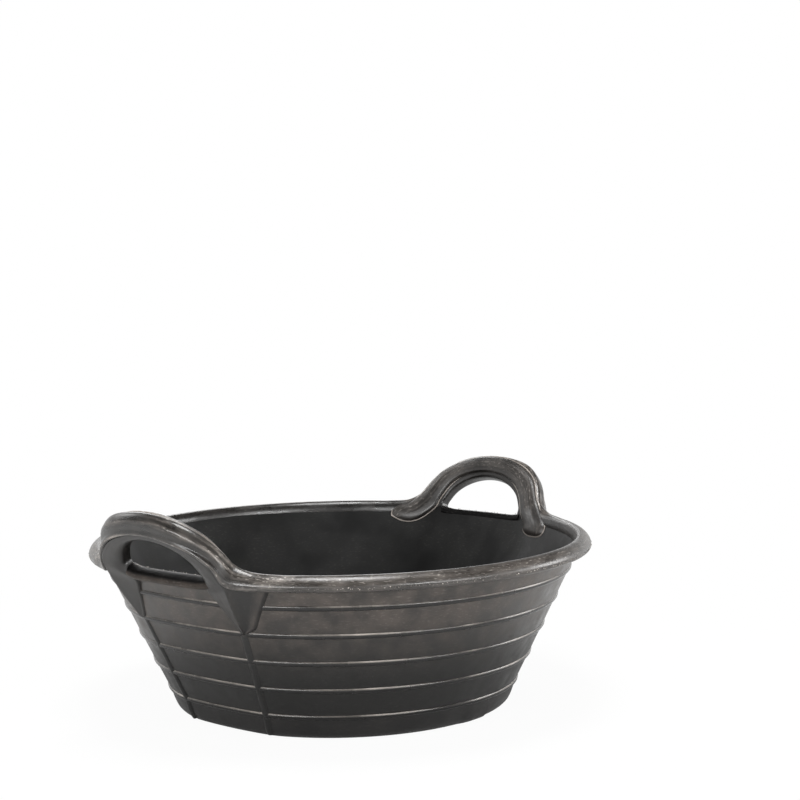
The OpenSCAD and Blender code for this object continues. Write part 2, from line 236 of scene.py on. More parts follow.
@dataclass(frozen=True)
class RubberFinish:
    """Carbon black rubber cured in a steel mould, which leaves it near black with a soft satin sheen.

    A thin warm bloom comes out on it in clouds. Handling polishes it in streaks and leaves pale scuffs and
    flecks of dust on what stands proud.
    """

    name: str
    slot: str
    body: str = "#141312"
    bloom: str = "#24211f"
    scuff: str = "#7d766f"
    fleck: str = "#c2bbb3"
    satin: float = 0.28
    dull: float = 0.46
    gloss: float = 0.6
    bloom_by_wear: float = 0.0
    streak_part: float = 1.0
    streak_least: float = 0.0
    fleck_share: float = 0.02
    fleck_worn: float = 0.8
    scuff_share: float = 0.55
    cloud_mm: float = 34.0
    cloud_least: float = 0.0
    fleck_long_mm: float = 3.2
    fleck_wide_mm: float = 1.3
    streak_long_mm: float = 42.0
    streak_wide_mm: float = 1.7
    # Cured rubber's real grain is finer than a pixel, so it is drawn at about a pixel's width.
    grain_mm: float = 1.1
    grain_depth_mm: float = 0.05
    ripple_mm: float = 17.0
    ripple_depth_mm: float = 0.5
    ior: float = 1.52
    # How much finer detail each noise has.
    cloud_detail: float = 6.0
    streak_detail: float = 3.0
    fleck_detail: float = 2.0
    grain_detail: float = 2.0
    ripple_detail: float = 1.0
    # Between which values of its noise each pattern comes in.
    cloud_window: tuple[float, float] = (0.36, 0.66)
    streak_window: tuple[float, float] = (0.42, 0.74)
    fleck_window: tuple[float, float] = (0.58, 0.66)
    # How far the noise strays either way from satin to dull.
    uneven_half: float = 0.2
    # Dust clings to what stands proud, so flecks follow the wear raised to this power.
    dust_power: float = 2.5

    def build(self) -> bpy.types.Material:
        """Makes the material.

        Returns:
            The material, with patterns on Object coordinates and on the piece's own flow and wear attributes.
        """
        material = bpy.data.materials.new(self.name)
        material.use_nodes = True
        tree = material.node_tree
        tree.nodes.clear()
        place = add_node(tree, "ShaderNodeTexCoord").outputs["Object"]
        flow = add_node(tree, "ShaderNodeAttribute", attribute_name="flow").outputs["Vector"]
        wear = add_node(tree, "ShaderNodeAttribute", attribute_name="wear").outputs["Fac"]
        noise = {}
        for key, size, detail in (
            ("cloud", self.cloud_mm, self.cloud_detail),
            ("grain", self.grain_mm, self.grain_detail),
            ("ripple", self.ripple_mm, self.ripple_detail),
        ):
            noise[key] = add_node(
                tree, "ShaderNodeTexNoise", {"Vector": place, "Scale": 1 / (size * MM), "Detail": detail}
            ).outputs["Fac"]
        for key, long, wide, detail in (
            ("streak", self.streak_long_mm, self.streak_wide_mm, self.streak_detail),
            ("fleck", self.fleck_long_mm, self.fleck_wide_mm, self.fleck_detail),
        ):
            stretch = (1 / (long * MM), 1 / (wide * MM), 1.0)
            along = add_node(
                tree, "ShaderNodeVectorMath", {0: flow, 1: stretch}, operation="MULTIPLY"
            ).outputs[0]
            noise[key] = add_node(
                tree, "ShaderNodeTexNoise", {"Vector": along, "Scale": 1.0, "Detail": detail}
            ).outputs["Fac"]
        shares = {}
        for key, (low, high), least in (
            ("cloud", self.cloud_window, self.cloud_least),
            ("streak", self.streak_window, self.streak_least),
            ("fleck", self.fleck_window, 0.0),
        ):
            shares[key] = add_node(
                tree,
                "ShaderNodeMapRange",
                {"Value": noise[key], "From Min": low, "From Max": high, "To Min": least},
                clamp=True,
            ).outputs["Result"]

        colour = self._paint(tree, shares, wear)
        uneven = add_node(
            tree,
            "ShaderNodeMath",
            {0: noise["streak"], 1: self.streak_part, 2: noise["cloud"]},
            operation="MULTIPLY_ADD",
        ).outputs[0]
        middle = NOISE_MEAN * (1 + self.streak_part)
        rough = add_node(
            tree,
            "ShaderNodeMapRange",
            {"Value": uneven, "From Min": middle - self.uneven_half, "From Max": middle + self.uneven_half,
             "To Min": self.satin, "To Max": self.dull},
        ).outputs["Result"]
        normal = None
        for key, depth in (("ripple", self.ripple_depth_mm), ("grain", self.grain_depth_mm)):
            links = {"Height": noise[key], "Strength": 1.0, "Distance": depth * MM}
            if normal:
                links["Normal"] = normal
            normal = add_node(tree, "ShaderNodeBump", links).outputs["Normal"]
        shader = add_node(
            tree,
            "ShaderNodeBsdfPrincipled",
            {"Base Color": colour, "Roughness": rough, "Normal": normal, "IOR": self.ior,
             "Specular IOR Level": self.gloss},
        )
        add_node(tree, "ShaderNodeOutputMaterial", {"Surface": shader.outputs["BSDF"]})
        return material

    def _paint(
        self,
        tree: bpy.types.NodeTree,
        shares: Mapping[str, bpy.types.NodeSocket],
        wear: bpy.types.NodeSocket,
    ) -> bpy.types.NodeSocket:
        """Lays bloom, scuffs and flecks over the body colour.

        Args:
            tree: the material's tree.
            shares: how much of each pattern shows, from 0 to 1.
            wear: the piece's own wear, which on some pieces also holds painted light and shade.

        Returns:
            The colour.
        """
        worn = add_node(
            tree, "ShaderNodeMapRange", {"Value": wear, "To Min": 1.0 - self.bloom_by_wear}
        ).outputs["Result"]
        proud = add_node(tree, "ShaderNodeMath", {0: wear, 1: self.dust_power}, operation="POWER").outputs[0]
        dusty = add_node(
            tree,
            "ShaderNodeMath",
            {0: proud, 1: self.fleck_worn, 2: self.fleck_share},
            operation="MULTIPLY_ADD",
        ).outputs[0]
        patchy = add_node(
            tree, "ShaderNodeMath", {0: shares["cloud"], 1: dusty}, operation="MULTIPLY"
        ).outputs[0]
        rubbed = add_node(
            tree, "ShaderNodeMath", {0: wear, 1: self.scuff_share}, operation="MULTIPLY"
        ).outputs[0]
        rubbed = add_node(
            tree, "ShaderNodeMath", {0: rubbed, 1: shares["cloud"]}, operation="MULTIPLY"
        ).outputs[0]
        # A Mix node has its colours on inputs 6 and 7 and on output 2.
        colour = linear(self.body)
        for key, amount, paint in (
            ("cloud", worn, self.bloom),
            ("streak", rubbed, self.scuff),
            ("fleck", patchy, self.fleck),
        ):
            share = add_node(
                tree, "ShaderNodeMath", {0: shares[key], 1: amount}, operation="MULTIPLY"
            ).outputs[0]
            colour = add_node(
                tree, "ShaderNodeMix", {0: share, 6: colour, 7: linear(paint)}, data_type="RGBA"
            ).outputs[2]
        return colour


@dataclass(frozen=True)
class Finishes:
    """The tub's rubber as each part of the lay-up shows it."""

    # Bloom and dust make the upper wall a warm grey, and the bloom grows up the wall as painted light. Nearer
    # the floor it stays black as painted shade.
    wall: RubberFinish = RubberFinish(
        "moulded_wall_rubber", "wall_rubber", body="#131211", bloom="#443d38", bloom_by_wear=1.0,
        cloud_mm=15.0, cloud_least=0.28, gloss=0.5, streak_wide_mm=7.0, streak_part=0.3, scuff_share=0.06,
        fleck_worn=0.06, grain_depth_mm=0.08,
    )
    # The ribs' upper shoulders are rubbed in use and painted pale as a highlight, a pale line above a front
    # that is painted black as shade.
    rib: RubberFinish = RubberFinish(
        "rib_rubber_painted_highlight", "wall_rubber", body="#0b0a0a", bloom="#151312", scuff="#e2d9cf", scuff_share=1.0,
        streak_long_mm=60.0, streak_least=0.12, cloud_mm=60.0, cloud_least=0.25, satin=0.2, dull=0.32,
        gloss=0.45, ripple_depth_mm=0.12, grain_depth_mm=0.03, fleck_worn=0.3,
    )
    # Feed scours the inside, which is dull with few specks, and it is painted nearly black as the shade inside
    # the tub.
    inside: RubberFinish = RubberFinish(
        "dull_inside_rubber", "wall_rubber", body="#0c0c0c", bloom="#121211", satin=0.34, dull=0.46,
        gloss=0.35, fleck_share=0.025, streak_part=0.0,
    )
    # The bottom sheet and the strip round the foot are calendered smooth, and are painted black with a dark
    # bloom as the tub's shade.
    floor: RubberFinish = RubberFinish(
        "sheet_floor_rubber", "floor_rubber", body="#111010", bloom="#1b1918", satin=0.34, dull=0.48,
        gloss=0.5, streak_part=0.2,
    )
    # The rim is knocked and rubbed all round, which leaves grey streaks and pale flecks on a satin black.
    rim: RubberFinish = RubberFinish(
        "scuffed_rim_rubber", "rim_rubber", scuff="#968d85", satin=0.26, dull=0.39, fleck_share=0.08,
        fleck_worn=0.4, streak_long_mm=16.0, streak_wide_mm=3.2, streak_least=0.45, scuff_share=0.5,
        cloud_least=0.4,
    )
    # The grip's roll rubs as the rim does, and hands polish it in softer patches.
    roll: RubberFinish = RubberFinish(
        "rubbed_roll_rubber", "grip_rubber", bloom="#1e1c1a", scuff="#aaa199", satin=0.25, dull=0.37,
        ripple_depth_mm=0.3, fleck_share=0.03, fleck_worn=1.2, streak_long_mm=16.0, streak_wide_mm=2.6,
        streak_least=0.25, scuff_share=0.8, cloud_mm=18.0, cloud_least=0.3,
    )
    # The sill's top lies in the hole's shade and is painted black as that shade. Its outer roll has the wall's
    # bloom.
    sill: RubberFinish = RubberFinish(
        "shaded_sill_rubber", "rim_rubber", body="#090808", bloom="#443d38", bloom_by_wear=1.0,
        cloud_least=0.5, cloud_mm=15.0, satin=0.36, dull=0.46, gloss=0.1, scuff_share=0.1, fleck_worn=0.1,
    )
    # A mould's parting line leaves torn flash and nibs, which catch dust as pale specks and lines; their pale
    # colour is also a painted highlight for the light they catch.
    nib: RubberFinish = RubberFinish(
        "dusty_nib_rubber", "rim_rubber", body="#746d67", bloom="#cac2b9", satin=0.3, dull=0.4,
    )
    flash: RubberFinish = RubberFinish(
        "torn_flash_rubber", "grip_rubber", body="#6e6761", bloom="#a79e96", scuff="#c2b9b0", scuff_share=0.9,
    )
    # Hands polish the grip's inner side and the hole band in fine streaks along the handle.
    grip: RubberFinish = RubberFinish(
        "handled_grip_rubber", "grip_rubber", scuff="#8f877f", satin=0.33, dull=0.46, ripple_depth_mm=0.2,
        scuff_share=0.5, streak_long_mm=40.0, streak_wide_mm=1.6, streak_least=0.2, cloud_mm=24.0,
        cloud_least=0.3,
    )


class Dresser:
    """Keeps the built materials, and turns point loops to named pieces on their bodies."""

    def __init__(self) -> None:
        """Starts with no material built."""
        self._built: dict[str, bpy.types.Material] = {}

    def material(self, finish: RubberFinish) -> bpy.types.Material:
        """The finish's material, built once.

        Args:
            finish: the finish.

        Returns:
            Its material.
        """
        if finish.name not in self._built:
            self._built[finish.name] = finish.build()
        return self._built[finish.name]

    def skin(
        self,
        name: str,
        loops: Points,
        finish: RubberFinish,
        wear: Points | None = None,
        ring: bool = False,
        lining: tuple[RubberFinish, int, int] | None = None,
        crease: float = 50.0,
    ) -> bpy.types.Object:
        """Makes a closed skin over loops of points.

        Args:
            name: the piece's name.
            loops: stations by points by three coordinates, in millimetres.
            finish: what the skin is made of.
            wear: how scuffed each point is, from 0 to 1; on some pieces it also holds painted light and shade.
            ring: whether the last station joins the first.
            lining: another finish, with the first and last point of the loop that it covers.
            crease: the angle in degrees past which an edge stays sharp.

        Returns:
            The new object.
        """
        rows, columns = loops.shape[:2]
        number = np.arange(rows * columns).reshape(rows, columns)
        ahead = np.roll(number, -1, axis=0) if ring else number[1:]
        start = number if ring else number[:-1]
        faces = np.stack(
            [start, np.roll(start, -1, axis=1), np.roll(ahead, -1, axis=1), ahead], axis=-1
        ).reshape(-1, 4).tolist()
        points = loops.reshape(-1, 3)
        onward = np.linalg.norm(np.diff(loops.mean(axis=1), axis=0), axis=1)
        along = np.concatenate([[0.0], np.cumsum(onward)])
        around = np.linalg.norm(np.diff(loops[rows // 2], axis=0), axis=1)
        across = np.concatenate([[0.0], np.cumsum(around)])
        flow = np.stack(np.broadcast_arrays(along[:, None], across[None, :], 0.0), axis=-1).reshape(-1, 3)
        worn = np.zeros((rows, columns)) if wear is None else np.broadcast_to(wear, (rows, columns))
        worn = worn.reshape(-1)
        slots = np.zeros(len(faces), dtype=int)
        if lining:
            column = np.tile(np.arange(columns), len(start))
            slots[(column >= lining[1]) & (column < lining[2])] = 1
        if not ring:
            for end, loop in ((0, number[0][::-1]), (rows - 1, number[-1])):
                hub = len(points)
                points = np.concatenate([points, loops[end].mean(axis=0, keepdims=True)])
                flow = np.concatenate([flow, flow[end * columns][None]])
                worn = np.append(worn, 0.0)
                faces += [[int(a), int(b), hub] for a, b in zip(loop, np.roll(loop, -1))]
            slots = np.concatenate([slots, np.zeros(2 * columns, dtype=int)])
        mesh = bpy.data.meshes.new(name)
        mesh.from_pydata((points * MM).tolist(), [], faces)
        mesh.attributes.new("flow", "FLOAT_VECTOR", "POINT").data.foreach_set("vector", (flow * MM).ravel())
        mesh.attributes.new("wear", "FLOAT", "POINT").data.foreach_set("value", worn)
        mesh.materials.append(self.material(finish))
        if lining:
            mesh.materials.append(self.material(lining[0]))
        mesh.polygons.foreach_set("material_index", slots)
        return self._finish(name, mesh, crease)

    @staticmethod
    def _finish(name: str, mesh: bpy.types.Mesh, crease: float) -> bpy.types.Object:
        """Turns a mesh's faces outwards, smooths it and puts it in the scene.

        Args:
            name: the piece's name.
            mesh: the mesh.
            crease: the angle in degrees past which an edge stays sharp.

        Returns:
            The new object.
        """
        work = bmesh.new()
        work.from_mesh(mesh)
        bmesh.ops.remove_doubles(work, verts=work.verts, dist=WELD)
        bmesh.ops.recalc_face_normals(work, faces=work.faces)
        work.to_mesh(mesh)
        work.free()
        mesh.polygons.foreach_set("use_smooth", np.ones(len(mesh.polygons), dtype=bool))
        mesh.set_sharp_from_angle(angle=math.radians(crease))
        piece = bpy.data.objects.new(name, mesh)
        bpy.context.scene.collection.objects.link(piece)
        return piece

    @staticmethod
    def on_tub(piece: bpy.types.Object, finish: RubberFinish, nodes: Sequence[str] = ()) -> None:
        """Lets a piece ride on the tub in place of its CAD nodes.

        Args:
            piece: the piece.
            finish: not used.
            nodes: the CAD nodes that it stands for.
        """
        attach(piece, "tub")
        if nodes:
            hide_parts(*nodes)
        log.info("%s: %d faces on the tub", piece.name, len(piece.data.polygons))


@dataclass(frozen=True)
class TubForm:
    """The tub's cone with its two flattened ends."""

    height: float = 133.0
    base_r: float = 130.0
    rim_r: float = 194.8
    wall_t: float = 5.5
    floor_t: float = 6.0
    end_half: float = math.radians(18.0)
    end_curve: float = 2.5
    end_soft: float = math.radians(1.6)
    # Cured rubber doesn't stay quite true: how far the wall sways, and in what waves round and up.
    wobble: float = 0.35
    wobble_waves: int = 5
    wobble_phase: float = 1.3
    wobble_rise: float = 24.0

    @property
    def slope(self) -> float:
        """How far the wall leans out for each millimetre of height."""
        return (self.rim_r - self.base_r) / self.height

    @property
    def lean(self) -> float:
        """The wall's lean from upright."""
        return math.atan(self.slope)

    def wall_radius(self, z: Points | float) -> Points | float:
        """The round wall's outer radius at a height."""
        return self.base_r + self.slope * z

    def off_axis(self, turn: Points | float) -> Points | float:
        """How far a turn about Z is from the nearer handle's middle."""
        return np.abs((turn + math.pi / 2) % math.pi - math.pi / 2)

    def outline_share(self, turn: Points | float) -> Points | float:
        """The plan outline's share of the round radius, below 1 on the flatter ends.

        Args:
            turn: the turn about Z, in radians.

        Returns:
            The share.
        """
        over = (self.end_half - self.off_axis(turn)) / self.end_soft
        off = self.end_half - self.end_soft * np.logaddexp(0.0, over)
        centre = math.sqrt(self.end_curve ** 2 - math.sin(self.end_half) ** 2) - math.cos(self.end_half)
        return np.sqrt(self.end_curve ** 2 - (centre * np.sin(off)) ** 2) - centre * np.cos(off)

    def spot(self, turn: Points | float, z: Points | float, proud: Points | float = 0.0) -> Points:
        """Points on the wall's outer face.

        Args:
            turn: the turn about Z, in radians.
            z: the height.
            proud: how far the points stand out from the face.

        Returns:
            The points, with their coordinates in the last axis.
        """
        waves = np.sin(self.wobble_waves * turn + self.wobble_phase)
        sway = self.wobble * waves * np.sin(z / self.wobble_rise)
        r = self.outline_share(turn) * (self.wall_radius(z) + sway) + proud
        return polar(r, turn, z)


@dataclass(frozen=True)
class RimForm:
    """The section of the rim bead: a parting lip low outside, the crest on top, and the root inside."""

    form: TubForm
    bead_r: float = 191.8
    lip_r: float = 197.0
    lip_z: float = 121.8
    root_r: float = 185.2
    root_z: float = 123.6
    # How far the section's curve reaches out of each of its ends.
    outer_reach: float = 5.2
    outer_rise: float = 1.0
    crest_reach: float = 6.4
    crest_drop: float = 1.0
    inner_reach: float = 4.4
    inner_rise: float = 0.5
    root_reach: float = 4.8

    def lip(self, turn: Points | float) -> Points:
        """The bead's lower outer lip."""
        return polar(self.lip_r, turn, self.lip_z)

    def crest(self, turn: Points | float) -> Points:
        """The bead's top."""
        return polar(self.bead_r, turn, self.form.height)

    def root(self, turn: Points | float) -> Points:
        """Where the bead runs out on the inner wall."""
        return polar(self.root_r, turn, self.root_z)

    def reaches(self, out: Points) -> tuple[Points, ...]:
        """What shapes the section, as arrows from the lip, from the crest both ways and from the root."""
        return (
            self.outer_reach * out + self.outer_rise * UP,
            self.crest_reach * out - self.crest_drop * UP,
            self.inner_rise * UP - self.inner_reach * out,
            self.root_reach * UP,
        )


@dataclass(frozen=True)
class RollSection:
    """The roll's section: an outer arc with a flute, an inner arc and a hidden chord between them."""

    outer_points: int = 26
    inner_points: int = 16
    chord_points: int = 4
    # Along the outer arc, from 0 at the lip to 1 at the crest: where each form is and how wide, then how high
    # it is as a share of the flute's depth.
    flute_depth: float = 1.6
    flute_at: float = 0.47
    flute_width: float = 0.12
    edge_at: float = 0.22
    edge_width: float = 0.07
    edge_share: float = 0.2
    ridge_at: float = 0.71
    ridge_width: float = 0.07
    ridge_share: float = 0.35
    groove_depth: float = 0.3
    groove_at: float = 0.3
    groove_width: float = 0.045
    # Wear along the same arc, on the rim and on the grip. On the grip the flute is left at the least wear,
    # which paints it dark as the shade in its hollow.
    rim_worn_least: float = 0.4
    rim_worn_at: float = 0.72
    rim_worn_width: float = 0.28
    rim_worn_inside: float = 0.35
    grip_worn_least: float = 0.12
    ridge_worn_width: float = 0.06
    edge_worn_width: float = 0.08
    top_worn: float = 0.5
    top_worn_at: float = 0.93
    top_worn_width: float = 0.07
    grip_worn_inside: float = 0.9
    # How soon wear fades down the inner arc.
    inner_fade: float = 1.6

    def loops(self, lip: Points, arms: Sequence[Points], crest: Points, root: Points, grip: Points) -> Points:
        """Builds the closed loops.

        Args:
            lip: where each outer arc starts.
            arms: the outer arc's two handles, then the inner arc's two.
            crest: where the outer arc ends and the inner arc starts.
            root: where each inner arc ends.
            grip: for each station, 1 where the grip's long flute shows and 0 where the rim's groove does.

        Returns:
            Stations by points by three coordinates.
        """
        w = np.linspace(0, 1, self.outer_points)
        outer = bezier(lip, arms[0], arms[1], crest, w)
        inner = bezier(crest, arms[2], arms[3], root, np.linspace(0, 1, self.inner_points)[1:])
        chord = mix(root[:, None], lip[:, None], np.linspace(0, 1, self.chord_points + 2)[None, 1:-1, None])
        middle = mix(lip, root, 0.5)[:, None]
        out = unit(outer - middle)
        flutes = self.flute_depth * (
            self.ridge_share * bump(w, self.ridge_at, self.ridge_width)
            - bump(w, self.flute_at, self.flute_width)
            + self.edge_share * bump(w, self.edge_at, self.edge_width)
        )
        groove = -self.groove_depth * bump(w, self.groove_at, self.groove_width)
        depth = mix(groove[None, :], flutes[None, :], grip[:, None])
        return np.concatenate([outer + out * depth[..., None], inner, chord], axis=1)

    def rim_wear(self, stations: int) -> Points:
        """How scuffed the rim's points are: most on its sloped upper face.

        Args:
            stations: how many loops there are.

        Returns:
            Stations by points, from 0 to 1.
        """
        w = np.linspace(0, 1, self.outer_points)
        least = self.rim_worn_least
        outer = least + (1 - least) * bump(w, self.rim_worn_at, self.rim_worn_width)
        inner = self.rim_worn_inside * (1 - ease(np.linspace(0, self.inner_fade, self.inner_points)[1:]))
        return np.tile(np.concatenate([outer, inner, np.zeros(self.chord_points)]), (stations, 1))

    def wear(self, stations: int) -> Points:
        """How scuffed the grip's points are: most on the ridge, the edge beside the flute and the top.

        Args:
            stations: how many loops there are.

        Returns:
            Stations by points, from 0 to 1.
        """
        w = np.linspace(0, 1, self.outer_points)
        ridges = bump(w, self.ridge_at, self.ridge_worn_width) + bump(w, self.edge_at, self.edge_worn_width)
        ridges = ridges + self.top_worn * bump(w, self.top_worn_at, self.top_worn_width)
        # The least wear leaves the flute dark, as painted shade.
        least = self.grip_worn_least
        outer = least + (1 - least) * np.clip(ridges, 0, 1)
        inner = self.grip_worn_inside * (1 - ease(np.linspace(0, self.inner_fade, self.inner_points)[1:]))
        return np.tile(np.concatenate([outer, inner, np.zeros(self.chord_points)]), (stations, 1))


@dataclass
class FloorSheet:
    """The round bottom sheet, turned up into the wall with a soft corner."""

    form: TubForm
    dresser: Dresser
    finish: RubberFinish
    lining: RubberFinish
    corner_r: float = 12.0
    under_gap: float = 4.0
    foot_gap: float = 6.0
    corner_steps: int = 12
    turns: int = 180
    rings: tuple[float, ...] = (0.0, 30.0, 60.0, 90.0)
    crease: float = 40.0

    def build(self) -> None:
        """Builds and dresses the floor."""
        form = self.form
        sweep = np.linspace(0, math.pi / 2 - form.lean, self.corner_steps)
        meet_z = form.floor_t + self.corner_r * (1 - math.sin(form.lean))
        centre_r = form.wall_radius(meet_z) - form.wall_t - self.corner_r * math.cos(form.lean)
        corner = [
            (centre_r + self.corner_r * math.sin(a), form.floor_t + self.corner_r * (1 - math.cos(a)))
            for a in sweep
        ]
        top = [(r, form.floor_t) for r in self.rings] + corner
        outside = [
            (corner[-1][0] + self.under_gap, corner[-1][1]),
            (form.base_r - self.under_gap, form.floor_t / 2),
        ]
        bottom = [(form.base_r - self.foot_gap, 0.0), *((r, 0.0) for r in reversed(self.rings))]
        profile = np.array(top + outside + bottom)
        turn = np.linspace(0, 2 * math.pi, self.turns, endpoint=False)
        r = form.outline_share(turn)[:, None] * profile[None, :, 0]
        loops = polar(r, turn[:, None], profile[None, :, 1])
        lining = (self.lining, 0, len(top))
        piece = self.dresser.skin(
            "floor_sheet", loops, self.finish, ring=True, lining=lining, crease=self.crease
        )
        self.dresser.on_tub(piece, self.finish, ["floor_disc"])


@dataclass
class BaseStrip:
    """The strip round the foot of the wall, with a rounded lower edge and one lapped end."""

    form: TubForm
    dresser: Dresser
    finish: RubberFinish
    top: float = 16.6
    thick: float = 1.6
    edge_r: float = 9.0
    lap_turn: float = math.radians(276.0)
    lap_len: float = 30.0
    lap_fade: float = 12.0
    lap_edge: float = 0.5
    # The strip's hidden side, as radius and height inside the floor and the wall.
    hidden: tuple[tuple[float, float], ...] = ((112.0, 0.0), (112.0, 4.0), (126.0, 4.0), (131.8, 9.0))
    # The outer face starts below the head, thin at first, and ends in the arc under the foot.
    face_drop: float = 0.9
    face_points: int = 5
    thinning: tuple[float, ...] = (0.3, 0.5, 0.75, 0.93)
    arc_points: int = 9
    # The head rounds out of the wall, as shares of the thickness and drops from the top.
    head_sunk: float = 2.0
    head_shares: tuple[float, float] = (0.1, 0.25)
    head_drops: tuple[float, float, float] = (0.3, 0.0, 0.25)
    seam_stop: float = 2.2
    turns: int = 240
    # More stations on the lap's steep edge, as shares of it.
    lap_shares: tuple[float, ...] = (0.02, 0.3, 0.6, 0.98)
    crease: float = 42.0

    def thickness(self, turn: Points) -> Points:
        """The strip's thickness, doubled where its end laps over its start.

        Args:
            turn: the turn about Z, in radians.

        Returns:
            The thickness at each turn.
        """
        back = (self.lap_turn - turn) * self.form.base_r
        lapped = ease(back / self.lap_edge) * ease((self.lap_len - back) / self.lap_fade)
        return self.thick * (1 + lapped)

    def outer(self, thick: Points) -> tuple[Points, Points]:
        """The strip's outer face from near its top to under the foot.

        Args:
            thick: the strip's thickness, one row for each turn.

        Returns:
            The radius and height of each point, before the ends are flattened.
        """
        form = self.form
        arc = np.linspace(form.lean, math.pi / 2, self.arc_points)[None, :]
        meet_z = self.edge_r * (1 - math.sin(form.lean))
        outer_z = np.linspace(self.top - self.face_drop, meet_z, self.face_points)[None, :-1]
        reach = form.wall_radius(outer_z) + thick * np.array(self.thinning)
        middle_r = form.wall_radius(meet_z) + thick - self.edge_r * math.cos(form.lean)
        arc_r = middle_r + self.edge_r * np.cos(arc)
        arc_z = self.edge_r * (1 - np.sin(arc))
        r = np.concatenate([reach, arc_r], axis=1)
        z = np.concatenate([outer_z, arc_z], axis=1)
        return r, np.broadcast_to(z, r.shape)

    def face(self, turn: float, sunk: float) -> Points:
        """Points down the strip's outer face for a seam strip that is sunk in it.

        Args:
            turn: the seam's turn about Z, in radians.
            sunk: how deep the seam strip's middle lies in the face.

        Returns:
            The points, from the top down.
        """
        r, z = self.outer(np.array([[self.thick]]))
        held = z[0] > self.seam_stop
        return polar(r[0][held] * self.form.outline_share(turn) - sunk, turn, z[0][held])

    def build(self) -> None:
        """Builds and dresses the strip."""
        form = self.form
        edge = self.lap_edge / form.base_r
        even = np.linspace(0, 2 * math.pi, self.turns, endpoint=False)
        turn = np.sort(np.concatenate([even, self.lap_turn - edge * np.array(self.lap_shares)]))
        thick = self.thickness(turn)[:, None]
        face_r, face_z = self.outer(thick)
        proud = [np.full_like(thick, -self.head_sunk), *(share * thick for share in self.head_shares)]
        head_r = form.wall_radius(self.top) + np.concatenate(proud, axis=1)
        head_z = np.broadcast_to(self.top - np.array(self.head_drops), head_r.shape)
        under_r, under_z = (
            np.broadcast_to(np.array(column), (len(turn), len(self.hidden))) for column in zip(*self.hidden)
        )
        r = np.concatenate([head_r, face_r, under_r], axis=1) * form.outline_share(turn)[:, None]
        loops = polar(r, turn[:, None], np.concatenate([head_z, face_z, under_z], axis=1))
        piece = self.dresser.skin("base_strip", loops, self.finish, ring=True, crease=self.crease)
        self.dresser.on_tub(piece, self.finish, ["base_band"])


@dataclass
class WallSheets:
    """The four wall sheets: two long ones and the flatter ones under the handles."""

    form: TubForm
    dresser: Dresser
    finish: RubberFinish
    lining: RubberFinish
    foot: float = 7.0
    rows: int = 26
    step: float = math.radians(1.0)
    # How high the sheets reach inside the rim, a handle's leg and the sill, and where a leg starts and ends.
    rim_top: float = 126.0
    leg_top: float = 133.0
    sill_top: float = 126.6
    leg_in: float = math.radians(12.5)
    leg_mid: float = math.radians(18.5)
    leg_out: float = math.radians(24.0)
    leg_soft: float = math.radians(2.5)
    # Between which heights the wall's bloom comes in, painting the upper wall lighter and the lower wall
    # darker as light and shade.
    bloom_from: float = 44.0
    bloom_to: float = 115.0

    def top(self, turn: Points) -> Points:
        """How high the sheet reaches: inside the sill, a handle's leg or the rim.

        Args:
            turn: the turn about Z, in radians.

        Returns:
            The height at each turn.
        """
        off = self.form.off_axis(turn)
        rise = ease((off - self.leg_in) / self.leg_soft)
        fall = ease((off - self.leg_mid) / (self.leg_out - self.leg_mid))
        return mix(mix(self.sill_top, self.leg_top, rise), self.rim_top, fall)

    def build(self) -> None:
        """Builds and dresses the four sheets."""
        half = self.form.end_half
        spans = {
            "right_end": (-half, half),
            "back": (half, math.pi - half),
            "left_end": (math.pi - half, math.pi + half),
            "front": (math.pi + half, 2 * math.pi - half),
        }
        for name, (start, end) in spans.items():
            turn = np.linspace(start, end, round((end - start) / self.step) + 1)[:, None]
            share = np.linspace(0, 1, self.rows)[None, :]
            z = mix(self.foot, self.top(turn), share)
            outer = self.form.spot(turn, z)
            inner = self.form.spot(turn, z[:, ::-1], -self.form.wall_t * self.form.outline_share(turn))
            loops = np.concatenate([outer, inner], axis=1)
            # The wear rises with height, so through the bloom it paints light on the upper wall and shade on
            # the lower.
            high = ease((z - self.bloom_from) / (self.bloom_to - self.bloom_from))
            wear = np.concatenate([high, np.zeros_like(high)], axis=1)
            lining = (self.lining, self.rows, 2 * self.rows - 1)
            piece = self.dresser.skin(f"wall_sheet_{name}", loops, self.finish, wear, lining=lining)
            self.dresser.on_tub(piece, self.finish, [f"wall_{name}"])


